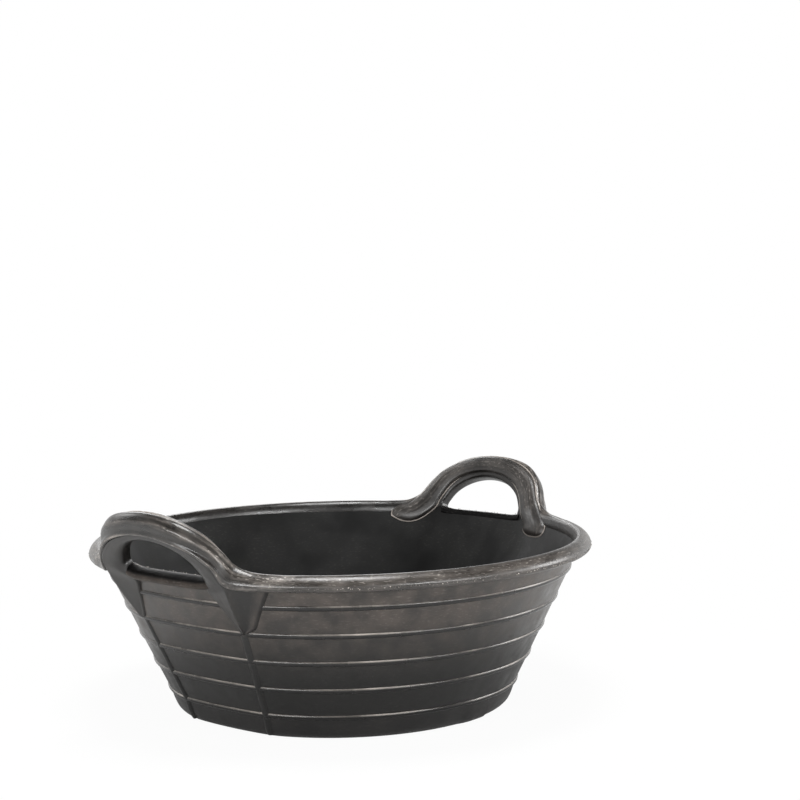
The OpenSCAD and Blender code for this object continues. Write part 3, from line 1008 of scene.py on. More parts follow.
@dataclass
class BeadTree:
    """Geometry Nodes that sweep a rounded bead along every path of a piece."""

    # Wear comes in on what faces upwards, between these values of the normal's Z: rubbing, and a painted
    # highlight on the upper side of each bead.
    rubbed_and_lit_from: float = 0.08
    rubbed_and_lit_to: float = 0.36
    tree: bpy.types.NodeTree = field(init=False)

    def __post_init__(self) -> None:
        """Builds the tree."""
        tree = bpy.data.node_groups.new("bead_along_paths", "GeometryNodeTree")
        for name, kind in (
            ("Paths", "NodeSocketGeometry"),
            ("Half across", "NodeSocketFloat"),
            ("Half upright", "NodeSocketFloat"),
            ("Sides", "NodeSocketInt"),
            ("Finish", "NodeSocketMaterial"),
        ):
            tree.interface.new_socket(name, in_out="INPUT", socket_type=kind)
        tree.interface.new_socket("Beads", in_out="OUTPUT", socket_type="NodeSocketGeometry")
        given = add_node(tree, "NodeGroupInput").outputs
        paths = add_node(tree, "GeometryNodeMeshToCurve", {0: given["Paths"]}).outputs[0]
        length = add_node(tree, "GeometryNodeSplineParameter").outputs["Length"]
        flow = add_node(tree, "ShaderNodeCombineXYZ", {0: length}).outputs[0]
        marked = add_node(
            tree,
            "GeometryNodeStoreNamedAttribute",
            {"Geometry": paths, "Name": "flow", "Value": flow},
            data_type="FLOAT_VECTOR",
        ).outputs[0]
        upright = add_node(tree, "GeometryNodeSetCurveNormal", {0: marked}, mode="Z_UP").outputs[0]
        circle = add_node(
            tree, "GeometryNodeCurvePrimitiveCircle", {"Resolution": given["Sides"], "Radius": 1.0}
        ).outputs["Curve"]
        size = add_node(
            tree, "ShaderNodeCombineXYZ", {0: given["Half across"], 1: given["Half upright"], 2: 1.0}
        ).outputs[0]
        section = add_node(tree, "GeometryNodeTransform", {"Geometry": circle, "Scale": size}).outputs[0]
        beads = add_node(
            tree, "GeometryNodeCurveToMesh", {"Curve": upright, "Profile Curve": section, "Fill Caps": True}
        ).outputs[0]
        facing = add_node(tree, "GeometryNodeInputNormal").outputs[0]
        upward = add_node(tree, "ShaderNodeSeparateXYZ", {0: facing}).outputs["Z"]
        worn = add_node(
            tree,
            "ShaderNodeMapRange",
            {"Value": upward, "From Min": self.rubbed_and_lit_from, "From Max": self.rubbed_and_lit_to},
        ).outputs["Result"]
        rubbed = add_node(
            tree,
            "GeometryNodeStoreNamedAttribute",
            {"Geometry": beads, "Name": "wear", "Value": worn},
            data_type="FLOAT",
        ).outputs[0]
        soft = add_node(tree, "GeometryNodeSetShadeSmooth", {0: rubbed}).outputs[0]
        real = add_node(tree, "GeometryNodeRealizeInstances", {0: soft}).outputs[0]
        made = add_node(
            tree, "GeometryNodeSetMaterial", {"Geometry": real, "Material": given["Finish"]}
        ).outputs[0]
        add_node(tree, "NodeGroupOutput", {0: made})
        self.tree = tree

    def piece(
        self,
        name: str,
        paths: Sequence[Points],
        halves: tuple[float, float],
        sides: int,
        material: bpy.types.Material,
    ) -> bpy.types.Object:
        """Makes a plain mesh of beads.

        Args:
            name: the piece's name.
            paths: the points of each path, in millimetres.
            halves: half a bead's size across and upright, in millimetres.
            sides: how many sides its section has.
            material: what the beads are made of.

        Returns:
            The new object, with no modifier left.
        """
        across, upright = halves
        inputs = {
            "Half across": across * MM,
            "Half upright": upright * MM,
            "Sides": sides,
            "Finish": material,
        }
        return grow(self.tree, name, paths, inputs)


@dataclass
class NibTree:
    """Geometry Nodes that strew small moulding nibs along paths, with a fixed seed."""

    spacing: float = 1.7
    stray: float = 0.7
    smallest: float = 0.1
    largest: float = 0.5
    seed: int = 7
    tree: bpy.types.NodeTree = field(init=False)

    def __post_init__(self) -> None:
        """Builds the tree."""
        tree = bpy.data.node_groups.new("nibs_along_paths", "GeometryNodeTree")
        for name, kind in (
            ("Paths", "NodeSocketGeometry"),
            ("Spacing", "NodeSocketFloat"),
            ("Stray", "NodeSocketFloat"),
            ("Smallest", "NodeSocketFloat"),
            ("Largest", "NodeSocketFloat"),
            ("Seed", "NodeSocketInt"),
            ("Finish", "NodeSocketMaterial"),
        ):
            tree.interface.new_socket(name, in_out="INPUT", socket_type=kind)
        tree.interface.new_socket("Nibs", in_out="OUTPUT", socket_type="NodeSocketGeometry")
        given = add_node(tree, "NodeGroupInput").outputs
        paths = add_node(tree, "GeometryNodeMeshToCurve", {0: given["Paths"]}).outputs[0]
        spots = add_node(
            tree, "GeometryNodeCurveToPoints", {"Curve": paths, "Length": given["Spacing"]}, mode="LENGTH"
        ).outputs["Points"]
        back = add_node(tree, "ShaderNodeMath", {0: given["Stray"], 1: -1.0}, operation="MULTIPLY").outputs[0]
        low = add_node(tree, "ShaderNodeCombineXYZ", {0: back, 1: back, 2: back}).outputs[0]
        high = add_node(
            tree, "ShaderNodeCombineXYZ", {0: given["Stray"], 1: given["Stray"], 2: given["Stray"]}
        ).outputs[0]
        shift = add_node(
            tree,
            "FunctionNodeRandomValue",
            {0: low, 1: high, "Seed": given["Seed"]},
            data_type="FLOAT_VECTOR",
        ).outputs[0]
        strewn = add_node(
            tree, "GeometryNodeSetPosition", {"Geometry": spots, "Offset": shift}
        ).outputs[0]
        nib = add_node(tree, "GeometryNodeMeshIcoSphere", {"Radius": 1.0, "Subdivisions": 1}).outputs["Mesh"]
        size = add_node(
            tree,
            "FunctionNodeRandomValue",
            {2: given["Smallest"], 3: given["Largest"], "Seed": given["Seed"]},
            data_type="FLOAT",
        ).outputs[1]
        nibs = add_node(
            tree, "GeometryNodeInstanceOnPoints", {"Points": strewn, "Instance": nib, "Scale": size}
        ).outputs[0]
        real = add_node(tree, "GeometryNodeRealizeInstances", {0: nibs}).outputs[0]
        made = add_node(
            tree, "GeometryNodeSetMaterial", {"Geometry": real, "Material": given["Finish"]}
        ).outputs[0]
        add_node(tree, "NodeGroupOutput", {0: made})
        self.tree = tree

    def piece(self, name: str, paths: Sequence[Points], material: bpy.types.Material) -> bpy.types.Object:
        """Makes a plain mesh of nibs.

        Args:
            name: the piece's name.
            paths: the points of each path, in millimetres.
            material: what the nibs are made of.

        Returns:
            The new object, with no modifier left.
        """
        inputs = {
            "Spacing": self.spacing * MM,
            "Stray": self.stray * MM,
            "Smallest": self.smallest * MM,
            "Largest": self.largest * MM,
            "Seed": self.seed,
            "Finish": material,
        }
        return grow(self.tree, name, paths, inputs)


def grow(
    tree: bpy.types.NodeTree, name: str, paths: Sequence[Points], inputs: Mapping[str, Any]
) -> bpy.types.Object:
    """Runs a Geometry Nodes tree over paths and keeps the result as a plain mesh.

    Args:
        tree: the tree.
        name: the piece's name.
        paths: the points of each path, in millimetres.
        inputs: the tree's inputs by name.

    Returns:
        The new object, with no modifier left.
    """
    points = np.concatenate(paths) * MM
    edges: list[tuple[int, int]] = []
    first = 0
    for path in paths:
        edges += [(first + i, first + i + 1) for i in range(len(path) - 1)]
        first += len(path)
    mesh = bpy.data.meshes.new(name)
    mesh.from_pydata(points.tolist(), edges, [])
    piece = bpy.data.objects.new(name, mesh)
    bpy.context.scene.collection.objects.link(piece)
    modifier = piece.modifiers.new("grown", "NODES")
    modifier.node_group = tree
    for socket in tree.interface.items_tree:
        if socket.in_out == "INPUT" and socket.name in inputs:
            modifier[socket.identifier] = inputs[socket.name]
    evaluated = piece.evaluated_get(bpy.context.evaluated_depsgraph_get())
    grown = bpy.data.meshes.new_from_object(evaluated)
    piece.modifiers.clear()
    piece.data = grown
    return piece


@dataclass
class WallBeads:
    """The level ribs on the wall sheets and the raised strips over the four seams."""

    form: TubForm
    dresser: Dresser
    finish: RubberFinish
    rubbed: RubberFinish
    base: BaseStrip
    tree: BeadTree
    first: float = 18.5
    pitch: float = 22.4
    count: int = 5
    rib_r: float = 2.6
    rib_sunk: float = 1.45
    seam_half: float = 3.4
    seam_depth: float = 2.2
    seam_sunk: float = 0.9
    tip_z: float = 86.0
    leg_in: float = math.radians(11.8)
    leg_out: float = math.radians(26.6)
    leg_z: float = 119.0
    sides: int = 14
    long_points: int = 140
    end_points: int = 40
    seam_points: int = 30

    def stop(self, z: float, at_leg: float) -> float:
        """Where a rib stops beside a buttress or a seam strip.

        Args:
            z: the rib's height.
            at_leg: the buttress edge's turn at the top.

        Returns:
            The turn off the handle's axis.
        """
        if z < self.tip_z - self.rib_r:
            return self.form.end_half
        share = (self.leg_z - z) / (self.leg_z - self.tip_z)
        return mix(at_leg, self.form.end_half, min(share, 1.0))

    def build(self) -> None:
        """Builds and dresses the ribs and strips."""
        levels = [self.first + self.pitch * i for i in range(self.count)]
        rib = ((self.rib_r, self.rib_r), self.sides, self.dresser.material(self.rubbed))
        end_sheet = (0.0, self.leg_in, self.end_points)
        long_sheet = (math.pi / 2, self.leg_out, self.long_points)
        for name, middle, (half, leg, points) in (
            ("right_end", 0.0, end_sheet),
            ("back", math.pi / 2, long_sheet),
            ("left_end", math.pi, end_sheet),
            ("front", 1.5 * math.pi, long_sheet),
        ):
            paths = []
            for z in levels:
                reach = abs(half - self.stop(z, leg))
                turn = np.linspace(middle - reach, middle + reach, points)
                paths.append(self.form.spot(turn, z, -self.rib_sunk))
            piece = self.tree.piece(f"ribs_{name}", paths, *rib)
            self.dresser.on_tub(piece, self.rubbed)
        strip = ((self.seam_half, self.seam_depth), self.sides, self.dresser.material(self.finish))
        seam = self.form.end_half
        for side in Side:
            for face in Face:
                name = f"{face.label}_{side.label}"
                turn = math.atan2(face.value * math.sin(seam), side.value * math.cos(seam))
                z = np.linspace(self.tip_z, self.base.top, self.seam_points)
                wall = self.form.spot(turn, z, -self.seam_sunk)
                path = np.concatenate([wall, self.base.face(turn, self.seam_sunk)])
                piece = self.tree.piece(f"seam_bead_{name}", [path], *strip)
                self.dresser.on_tub(piece, self.finish, [f"seam_strip_{name}"])


@dataclass
class RimBeads:
    """The two long rim beads, front and back, which run into the handles' rolls."""

    rim: RimForm
    section: RollSection
    dresser: Dresser
    finish: RubberFinish
    nibs: NibTree
    nib_finish: RubberFinish
    nib_share: float = 0.3
    start: float = math.radians(33.0)
    stations: int = 130

    def build(self) -> None:
        """Builds and dresses both beads."""
        rim = self.rim
        for face in Face:
            turn = face.value * np.linspace(self.start, math.pi - self.start, self.stations)
            out = polar(1.0, turn, 0.0)
            lip, crest, root = rim.lip(turn), rim.crest(turn), rim.root(turn)
            arms = [end + reach for end, reach in zip((lip, crest, crest, root), rim.reaches(out))]
            loops = self.section.loops(lip, arms, crest, root, np.zeros(self.stations))
            name = face.label
            wear = self.section.rim_wear(self.stations)
            piece = self.dresser.skin(f"rim_bead_{name}", loops, self.finish, wear=wear)
            self.dresser.on_tub(piece, self.finish, [f"rim_{name}"])
            line = loops[:, round(self.nib_share * self.section.outer_points)]
            nibs = self.nibs.piece(f"rim_nibs_{name}", [line], self.dresser.material(self.nib_finish))
            self.dresser.on_tub(nibs, self.nib_finish)


@dataclass(frozen=True)
class HandleForm:
    """The lines of a handle at the right end, for Y above 0, on a plane that leans and bows with the wall."""

    form: TubForm
    plane_x: float = 188.8
    sill_s: float = -5.6
    bow_r: float = 1200.0
    # The hand hole and the parting line are half ellipses above the sill.
    hole_half: float = 41.5
    hole_rise: float = 30.0
    part_half: float = 62.0
    part_rise: float = 36.5
    # The roll's depth above the parting line, and how far out of the plane its outline is.
    crown_depth: float = 15.5
    leg_depth: float = 5.0
    crown_level: float = 1.0
    leg_level: float = -8.0
    half_thick: float = 7.0
    # Turns from the crown at which the lines are drawn, in degrees, and where a leg starts and ends.
    arch_turns: tuple[float, ...] = (0.0, 15.0, 30.0, 45.0, 60.0, 75.0)
    leg_from: float = math.radians(22.0)
    leg_to: float = math.radians(76.0)

    @property
    def outward(self) -> Points:
        """The direction square to the handle's plane, away from the tub."""
        return np.array([math.cos(self.form.lean), 0.0, -math.sin(self.form.lean)])

    @property
    def upward(self) -> Points:
        """The direction up the handle's plane."""
        return np.array([math.sin(self.form.lean), 0.0, math.cos(self.form.lean)])

    def spot(self, y: Points | float, s: Points | float, out: Points | float) -> Points:
        """Points from their place along Y, up the plane and out of it.

        Args:
            y: the place along Y.
            s: how far up the plane from the rim's height.
            out: how far out of the plane, away from the tub.

        Returns:
            The points, with their coordinates in the last axis.
        """
        y, s, out = np.broadcast_arrays(np.asarray(y, dtype=float), s, out)
        lean = self.form.lean
        x = self.plane_x - y ** 2 / (2 * self.bow_r) + s * math.sin(lean) + out * math.cos(lean)
        return np.stack([x, y, self.form.height + s * math.cos(lean) - out * math.sin(lean)], axis=-1)

    def hole(self, turn: Points) -> tuple[Points, Points]:
        """The hand hole's edge as Y and height up the plane, by the turn from the crown."""
        return self.hole_half * np.sin(turn), self.sill_s + self.hole_rise * np.cos(turn)

    def parting(self, turn: Points) -> tuple[Points, Points]:
        """The parting line between roll and hole band, by the turn from the crown."""
        return self.part_half * np.sin(turn), self.sill_s + self.part_rise * np.cos(turn)

    def on_leg(self, turn: Points) -> Points:
        """How far a turn from the crown is on a leg, from 0 to 1."""
        return ease((turn - self.leg_from) / (self.leg_to - self.leg_from))

    def across(self, turn: Points) -> tuple[Points, Points]:
        """The direction square to the parting line in the plane, as Y and up."""
        y, s = np.sin(turn) / self.part_half, np.cos(turn) / self.part_rise
        return y / np.hypot(y, s), s / np.hypot(y, s)

    def outline(self, turn: Points) -> tuple[Points, Points, Points]:
        """The roll's outer outline: on the legs it turns in towards the rim.

        Args:
            turn: the turn from the crown, in radians.

        Returns:
            The outline's place along Y, up the plane and out of it.
        """
        y, s = self.parting(turn)
        across_y, across_s = self.across(turn)
        leg = self.on_leg(turn)
        depth = mix(self.crown_depth, self.leg_depth, leg)
        return y + depth * across_y, s + depth * across_s, mix(self.crown_level, self.leg_level, leg)


@dataclass(frozen=True)
class RollForm:
    """The outer roll of a grip, from the crown over a leg to the rim."""

    # The corner where the leg meets the rim: Y and height up the handle's plane, then its crest's place.
    corner: tuple[float, float] = (63.5, -6.0)
    corner_crest: tuple[float, float, float] = (70.5, 0.6, -8.0)
    corner_share: float = 0.55
    # How deep the lip and the root lie in the handle's two faces.
    lip_in: float = 0.4
    root_in: float = 1.0
    # Where the foot follows the rim: turns about Z, and how far its crest stands above the rim's.
    lip_turns: tuple[float, ...] = (22.0, 26.0, 30.0, 33.0)
    crest_turns: tuple[float, ...] = (23.9, 27.0, 30.2, 33.0)
    root_turns: tuple[float, ...] = (20.5, 25.0, 29.5, 33.0)
    foot_lift: tuple[float, ...] = (1.3, 0.4, 0.0, 0.0)
    # How far the section's curve reaches out of each of its ends, on the crown and on a leg.
    lip_reach: float = 6.6
    leg_lip_reach: float = 2.4
    lip_sideways: float = 3.6
    crest_reach: float = 9.0
    leg_crest_reach: float = 8.0
    crest_sideways: float = 2.52
    inner_reach: float = 6.5
    leg_inner_reach: float = 1.5
    inner_sideways: float = 2.5
    root_sideways: float = 5.0
    root_back: float = 3.0
    # Where the rim's section comes in, the flute fades and the foot starts, in knots from the crown.
    rim_from: float = 4.5
    rim_over: float = 3.0
    flute_from: float = 3.2
    flute_over: float = 2.8
    foot_from: float = 5.5
    foot_over: float = 2.5
    # Patches that are rubbed harder, beside the crown, on the leg and at the foot: height, place and width.
    rub_least: float = 0.45
    rub_more: float = 1.05
    rub_patches: Places = ((0.5, 1.8, 0.7), (1.0, 4.6, 1.2), (1.0, 7.5, 0.8))
    foot_rub: tuple[float, float, float] = (0.4, 6.8, 0.8)

    def rubbing(self, from_middle: Points) -> Points:
        """How hard the roll is rubbed at each place from the crown."""
        patches = sum(height * bump(from_middle, at, width) for height, at, width in self.rub_patches)
        return self.rub_least + self.rub_more * patches


@dataclass(frozen=True)
class StrapForm:
    """The half-round inner side of a grip, which ends in two tongues on the inner wall."""

    # The edge beside the hand hole as Y and height up the handle's plane, and the edge beside the roll as Y,
    # height and how far out of the plane, both from the crown down.
    near: Places = (
        (0.0, 28.6), (13.5, 27.2), (26.5, 22.8), (36.0, 15.5), (41.5, 7.0), (45.0, -1.0), (47.5, -7.0),
    )
    far: Places = (
        (0.0, 44.5, -3.2), (20.5, 42.0, -3.5), (38.5, 35.0, -4.2), (50.5, 26.0, -6.0), (56.5, 17.0, -7.2),
        (61.5, 8.0, -8.0), (66.5, 1.5, -8.3),
    )
    # Each tongue is a run of places on the inner wall, as Y and height, beside the hole and beside the roll.
    tongue_front: tuple[Places, Places] = (
        ((51.0, 123.0), (51.8, 118.4), (56.0, 115.4), (62.0, 114.4)),
        ((76.5, 127.5), (78.5, 121.6), (76.0, 117.0), (69.5, 114.7)),
    )
    tongue_back: tuple[Places, Places] = (
        ((56.0, 123.0), (63.0, 118.2), (71.0, 116.2), (79.0, 117.2)),
        ((74.5, 131.0), (82.0, 130.0), (87.0, 126.5), (86.5, 120.5)),
    )
    # How far the face stands in from its edges, at each of the places above.
    swell: tuple[float, ...] = (6.0, 6.0, 6.0, 5.6, 5.2, 5.0, 5.2, 5.6, 5.4, 3.8, 0.6)
    # How deep the edges lie in the handle and in the wall, and the hidden side below them.
    near_in: float = 0.7
    wall_in: float = 0.3
    sunk: float = 3.0
    # Over which of the places the face turns from the handle's plane to the wall.
    wall_from: float = 4.0
    wall_over: float = 3.0
    # Fine ridges run along the face and fade out above the tongues.
    face_points: int = 29
    ridge_count: int = 5
    ridge_height: float = 0.09
    ridge_end: float = 0.72
    ridge_fade: float = 0.14
    worn_least: float = 0.25
    worn_more: float = 0.4
    worn_at: float = 0.6
    worn_width: float = 0.3


@dataclass(frozen=True)
class ButtressForm:
    """The V-shaped buttress below a handle's leg, with a ridge down its middle and its tip on the seam."""

    top_z: float = 124.5
    tip_z: float = 86.0
    tip_turn: float = math.radians(18.4)
    tip_proud: float = 2.4
    # Where the ridge starts from the roll's corner: nearer the middle, higher and deeper. Then how it bows.
    ridge_in: float = 0.8
    ridge_up: float = 1.0
    ridge_sunk: float = 0.1
    belly: tuple[float, float, float] = (1.4, 0.4, 0.0)
    # The edge on the end sheet: its turns at top and tip, and how it leaves the wall towards the top.
    inner_turns: tuple[float, float] = (11.2, 17.2)
    inner_power: float = 1.25
    inner_r: float = 180.0
    inner_lift: float = 4.2
    lift_power: float = 2.2
    # The edge on the long sheet: its turns at top and tip, and the blunt corner above the tip.
    outer_turns: tuple[float, float] = (27.0, 20.9)
    outer_r: float = 190.0
    blunt_from: float = 0.84
    blunt_over: float = 0.16
    blunt_turn: float = 1.6
    # The step from the facet down into the long sheet: how proud of the wall and how far round.
    steps: Places = ((2.4, -2.4), (1.7, -0.6), (-0.5, 1.4), (-3.0, 0.6))
    # The facet between ridge and step: a share of the way and how hollow it is there.
    hollows: Places = ((0.3, 0.5), (0.65, 0.6))
    facet_sunk: float = 0.25
    ridge_depth: float = 3.0
    deepest: float = -4.2
    # Stations down the buttress, by their share of the way. The last ones sink into the wall below the tip.
    start_share: float = -0.06
    rows: int = 26
    past_shares: tuple[float, float] = (1.03, 1.05)
    past_sink: float = 70.0
    ridge_past: float = 1.02
    round_steps: int = 3
    # Wear round the section, from behind the ridge over the facet and its step: the step's rounded edge gets a
    # painted highlight, and its foot is left dark as painted shade.
    wear: tuple[float, ...] = (0.0, 0.3, 0.05, 0.03, 0.75, 0.2, 0.0, 0.0)


@dataclass(frozen=True)
class BandForm:
    """The flat band round a hand hole, with the buttresses' inner facets below it."""

    last_turn: float = 88.0
    # Each place is a share of the band's width from the hole's edge, some millimetres more, and a share of
    # the half thickness: from the crease under the roll, over the outer face and the edge to the inner face.
    marks: Places = (
        (1.0, 0.0, 0.45), (1.0, 0.0, 0.98), (0.75, 0.0, 1.02), (0.5, 0.0, 0.99), (0.25, 0.4, 0.87),
        (0.08, 0.3, 0.62), (0.0, 0.1, 0.3), (0.0, 0.0, -0.1), (0.0, 0.1, -0.55), (0.0, 1.0, -0.84),
        (0.28, 0.5, -0.97), (0.42, 0.4, -1.0), (0.75, 0.0, -1.0), (1.0, 2.0, -0.75),
    )
    # Stations down the buttress, by their share of the way. The last one sinks into the wall below the tip.
    down_shares: tuple[float, ...] = (0.14, 0.36, 0.62, 0.86, 1.0, 1.05)
    tip_sink: float = 3.5
    tip_drop: float = 1.5
    # The facet's rounded edge on the end sheet: how proud of the wall and how far round.
    lips: Places = ((1.7, 2.4), (1.2, 0.9), (0.1, 0.0), (-1.4, 0.0), (-2.2, 0.5), (-2.6, 1.0), (-2.8, 2.0))
    facet_shares: tuple[float, float] = (0.33, 0.7)
    hidden_shares: tuple[float, float] = (0.35, 0.7)
    ridge_depth: float = 2.5
    depth: float = 4.0
    tip_depth: float = 2.4
    stations: int = 201
    round_steps: int = 4


@dataclass
class Handle:
    """One handle: roll, strap and hole band in one skin each, with the buttresses below."""

    side: Side
    lines: HandleForm
    rim: RimForm
    section: RollSection
    dresser: Dresser
    finish: RubberFinish
    roll_finish: RubberFinish
    wall_finish: RubberFinish
    flash_finish: RubberFinish
    beads: BeadTree
    roll: RollForm = RollForm()
    strap: StrapForm = StrapForm()
    band: BandForm = BandForm()
    buttress: ButtressForm = ButtressForm()
    flash_r: float = 0.75
    flash_sides: int = 8
    stations: int = 161
    crease: float = 60.0
    # Two heights up the handle's plane, which _bend turns to points that nothing uses.
    bend_low: float = -7.0
    bend_high: float = 15.0
    # The handle stands this far behind the tub's middle, and its foot runs back into the rim.
    set_back: float = 2.5
    free_z: float = 121.0
    free_rise: float = 12.0
    free_y: float = 68.0
    free_run: float = 16.0

    def build(self) -> None:
        """Builds and dresses the handle."""
        name = self.side.label
        feet = [f"foot_{face.label}_{name}" for face in Face]
        tongues = [f"tongue_{face.label}_{name}" for face in Face]
        self._bend(self._roll(), [f"{name}_grip_roll", f"{name}_necks", *feet])
        sections = self._strap_sections()
        self._bend(self._strap(sections), [f"{name}_grip_strap", *tongues])
        self._bend(self._flash(sections), [])
        self._bend(self._band(), [f"{name}_hole_band"])
        for face in Face:
            piece = self._buttress(face)
            node = f"gusset_{face.label}_{name}"
            self.dresser.on_tub(piece, self.wall_finish, [node])

    def _turned(self, loops: Points) -> Points:
        """Mirrors points of the right handle to this one, a little behind the tub's middle.

        Args:
            loops: the points, with their coordinates in the last axis.

        Returns:
            The moved points.
        """
        y, z = loops[..., 1], loops[..., 2]
        above = ease((z - self.free_z) / self.free_rise)
        free = above * (1 - ease((np.abs(y) - self.free_y) / self.free_run))
        return np.stack([self.side.value * loops[..., 0], y + self.set_back * free, z], axis=-1)

    def _bend(self, piece: bpy.types.Object, nodes: Sequence[str]) -> None:
        """Bakes a piece's place into its mesh, in place of its CAD nodes.

        Args:
            piece: the piece.
            nodes: the CAD nodes that it stands for.
        """
        low, high = (
            self._turned(self.lines.spot(0.0, s, 0.0)) * MM for s in (self.bend_low, self.bend_high)
        )
        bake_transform(piece)
        if nodes:
            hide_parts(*nodes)

    def _roll(self) -> bpy.types.Object:
        """Builds the outer roll, from rim to rim over the crown.

        Returns:
            The new object.
        """
        lines, rim, roll = self.lines, self.rim, self.roll
        arch = np.radians(lines.arch_turns)
        lip_out, root_out = lines.half_thick - roll.lip_in, roll.root_in - lines.half_thick
        hole_y, hole_s = lines.hole(arch)
        part_y, part_s = lines.parting(arch)
        lip = lines.spot(part_y, part_s, lip_out)
        crest = lines.spot(*lines.outline(arch))
        root = lines.spot(mix(hole_y, part_y, 0.5), mix(hole_s, part_s, 0.5), root_out)
        corner_y, corner_s = roll.corner
        corner_root = lines.spot(mix(lines.hole_half, corner_y, roll.corner_share), corner_s, root_out)
        lip_turn, crest_turn, root_turn = (
            np.radians(turns) for turns in (roll.lip_turns, roll.crest_turns, roll.root_turns)
        )
        foot_crest = rim.crest(crest_turn) + np.outer(roll.foot_lift, UP)
        lip = np.concatenate([lip, [lines.spot(corner_y, corner_s, lip_out)], rim.lip(lip_turn)])
        crest = np.concatenate([crest, [lines.spot(*roll.corner_crest)], foot_crest])
        root = np.concatenate([root, [corner_root], rim.root(root_turn)])
        arms = self._roll_arms(lip, crest, root)
        last = len(lip) - 1
        lip, crest, root, *arms = (spline(both_ways(p), self.stations) for p in (lip, crest, root, *arms))
        from_middle = np.abs(np.linspace(-1, 1, self.stations)) * last
        grip = 1 - ease((from_middle - roll.flute_from) / roll.flute_over)
        loops = self.section.loops(lip, arms, crest, root, grip)
        on_foot = ease((from_middle - roll.foot_from) / roll.foot_over)[:, None]
        rim_wear = self.section.rim_wear(self.stations)
        wear = mix(self.section.wear(self.stations) * roll.rubbing(from_middle)[:, None], rim_wear, on_foot)
        height, at, width = roll.foot_rub
        wear += height * bump(from_middle, at, width)[:, None] * rim_wear
        return self.dresser.skin(
            f"handle_roll_{self.side.label}", self._turned(loops), self.roll_finish,
            wear=np.minimum(wear, 1.0),
        )

    def _roll_arms(self, lip: Points, crest: Points, root: Points) -> tuple[Points, ...]:
        """Works out what shapes the roll's section at each knot, from the crown to the rim.

        Args:
            lip: where each section's outer arc starts.
            crest: where it ends and the inner arc starts.
            root: where the inner arc ends.

        Returns:
            The outer arc's two handles, then the inner arc's two.
        """
        lines, rim, roll = self.lines, self.rim, self.roll
        arch = np.radians(lines.arch_turns)
        turns = np.concatenate([arch, np.full(len(lip) - len(arch), math.pi / 2)])
        leg = lines.on_leg(turns)[:, None]
        on_rim = ease((np.arange(len(lip)) - roll.rim_from) / roll.rim_over)[:, None]
        around = np.arctan2(crest[:, 1], crest[:, 0])
        out = unit(mix(lines.outward[None], polar(1.0, around, 0.0), on_rim))
        across_y, across_s = lines.across(turns)
        side = across_y[:, None] * np.array([0.0, 1.0, 0.0]) + across_s[:, None] * lines.upward
        inner_reach = mix(roll.inner_reach, roll.leg_inner_reach, leg)
        reaches = (
            mix(roll.lip_reach, roll.leg_lip_reach, leg) * out + roll.lip_sideways * leg * side,
            mix(roll.crest_reach, roll.leg_crest_reach, leg) * out + roll.crest_sideways * leg * side,
            -inner_reach * out - roll.inner_sideways * leg * side,
            roll.root_sideways * side - roll.root_back * out,
        )
        ends = (lip, crest, crest, root)
        return tuple(end + mix(a, b, on_rim) for end, a, b in zip(ends, reaches, rim.reaches(out)))

    def _strap_sections(self) -> Points:
        """Draws the half-round inner side of the grip, which ends in two tongues on the inner wall.

        Returns:
            Stations by the six points that _strap_knots gives.
        """
        lines, strap = self.lines, self.strap
        near_arch = [lines.spot(y, s, strap.near_in - lines.half_thick) for y, s in strap.near]
        far_arch = [lines.spot(*place) for place in strap.far]
        front, back = (
            self._strap_knots(
                np.concatenate([near_arch, self._inner_wall(near_wall)]),
                np.concatenate([far_arch, self._inner_wall(far_wall)]),
            )
            for near_wall, far_wall in (strap.tongue_front, strap.tongue_back)
        )
        return spline(np.concatenate([front[:0:-1] * MIRROR_Y, back]), self.stations)

    def _flash(self, sections: Points) -> bpy.types.Object:
        """Builds the thin line of flash round the strap's edge.

        Args:
            sections: the strap's sections.

        Returns:
            The new object.
        """
        edge = np.concatenate([sections[:, 0], sections[::-1, 3], sections[:1, 0]])
        return self.beads.piece(
            f"flash_line_{self.side.label}", [self._turned(edge)], (self.flash_r, self.flash_r),
            self.flash_sides, self.dresser.material(self.flash_finish),
        )

    def _strap(self, sections: Points) -> bpy.types.Object:
        """Builds the strap's skin over its sections.

        Args:
            sections: the strap's sections.

        Returns:
            The new object.
        """
        strap = self.strap
        a, b, c, d, far_back, near_back = np.moveaxis(sections, 1, 0)
        w = np.linspace(0, 1, strap.face_points)
        face = bezier(a, b, c, d, w)
        out = unit(face - mix(a, d, 0.5)[:, None])
        count = strap.ridge_count
        ridges = np.cos(w * count * 2 * math.pi) * ease(w * count) * ease((1 - w) * count)
        fade = 1 - ease((np.abs(np.linspace(-1, 1, self.stations)) - strap.ridge_end) / strap.ridge_fade)
        face += out * (strap.ridge_height * ridges[None, :] * fade[:, None])[..., None]
        loops = np.concatenate([face, far_back[:, None], near_back[:, None]], axis=1)
        worn = strap.worn_least + strap.worn_more * bump(w, strap.worn_at, strap.worn_width)
        wear = np.concatenate([worn, [0.0, 0.0]])
        return self.dresser.skin(
            f"handle_strap_{self.side.label}", self._turned(loops), self.finish, wear=wear
        )

    def _strap_knots(self, near: Points, far: Points) -> Points:
        """Works out the strap's section at each knot.

        Args:
            near: its edge beside the hand hole.
            far: its edge beside the roll.

        Returns:
            Knots by six points: the face's start, its two arms, its end, and two points sunk in the handle.
        """
        lines, strap = self.lines, self.strap
        lean = lines.form.lean
        on_wall = ease((np.arange(len(near)) - strap.wall_from) / strap.wall_over)[:, None]
        middle = mix(near, far, 0.5)
        turn = np.arctan2(middle[:, 1], middle[:, 0])
        out = mix(lines.outward[None], polar(math.cos(lean), turn, -math.sin(lean)), on_wall)
        swell = np.array(strap.swell)[:, None] * out
        sunk = strap.sunk * out
        return np.stack([near, near - swell, far - swell, far, far + sunk, near + sunk], axis=1)

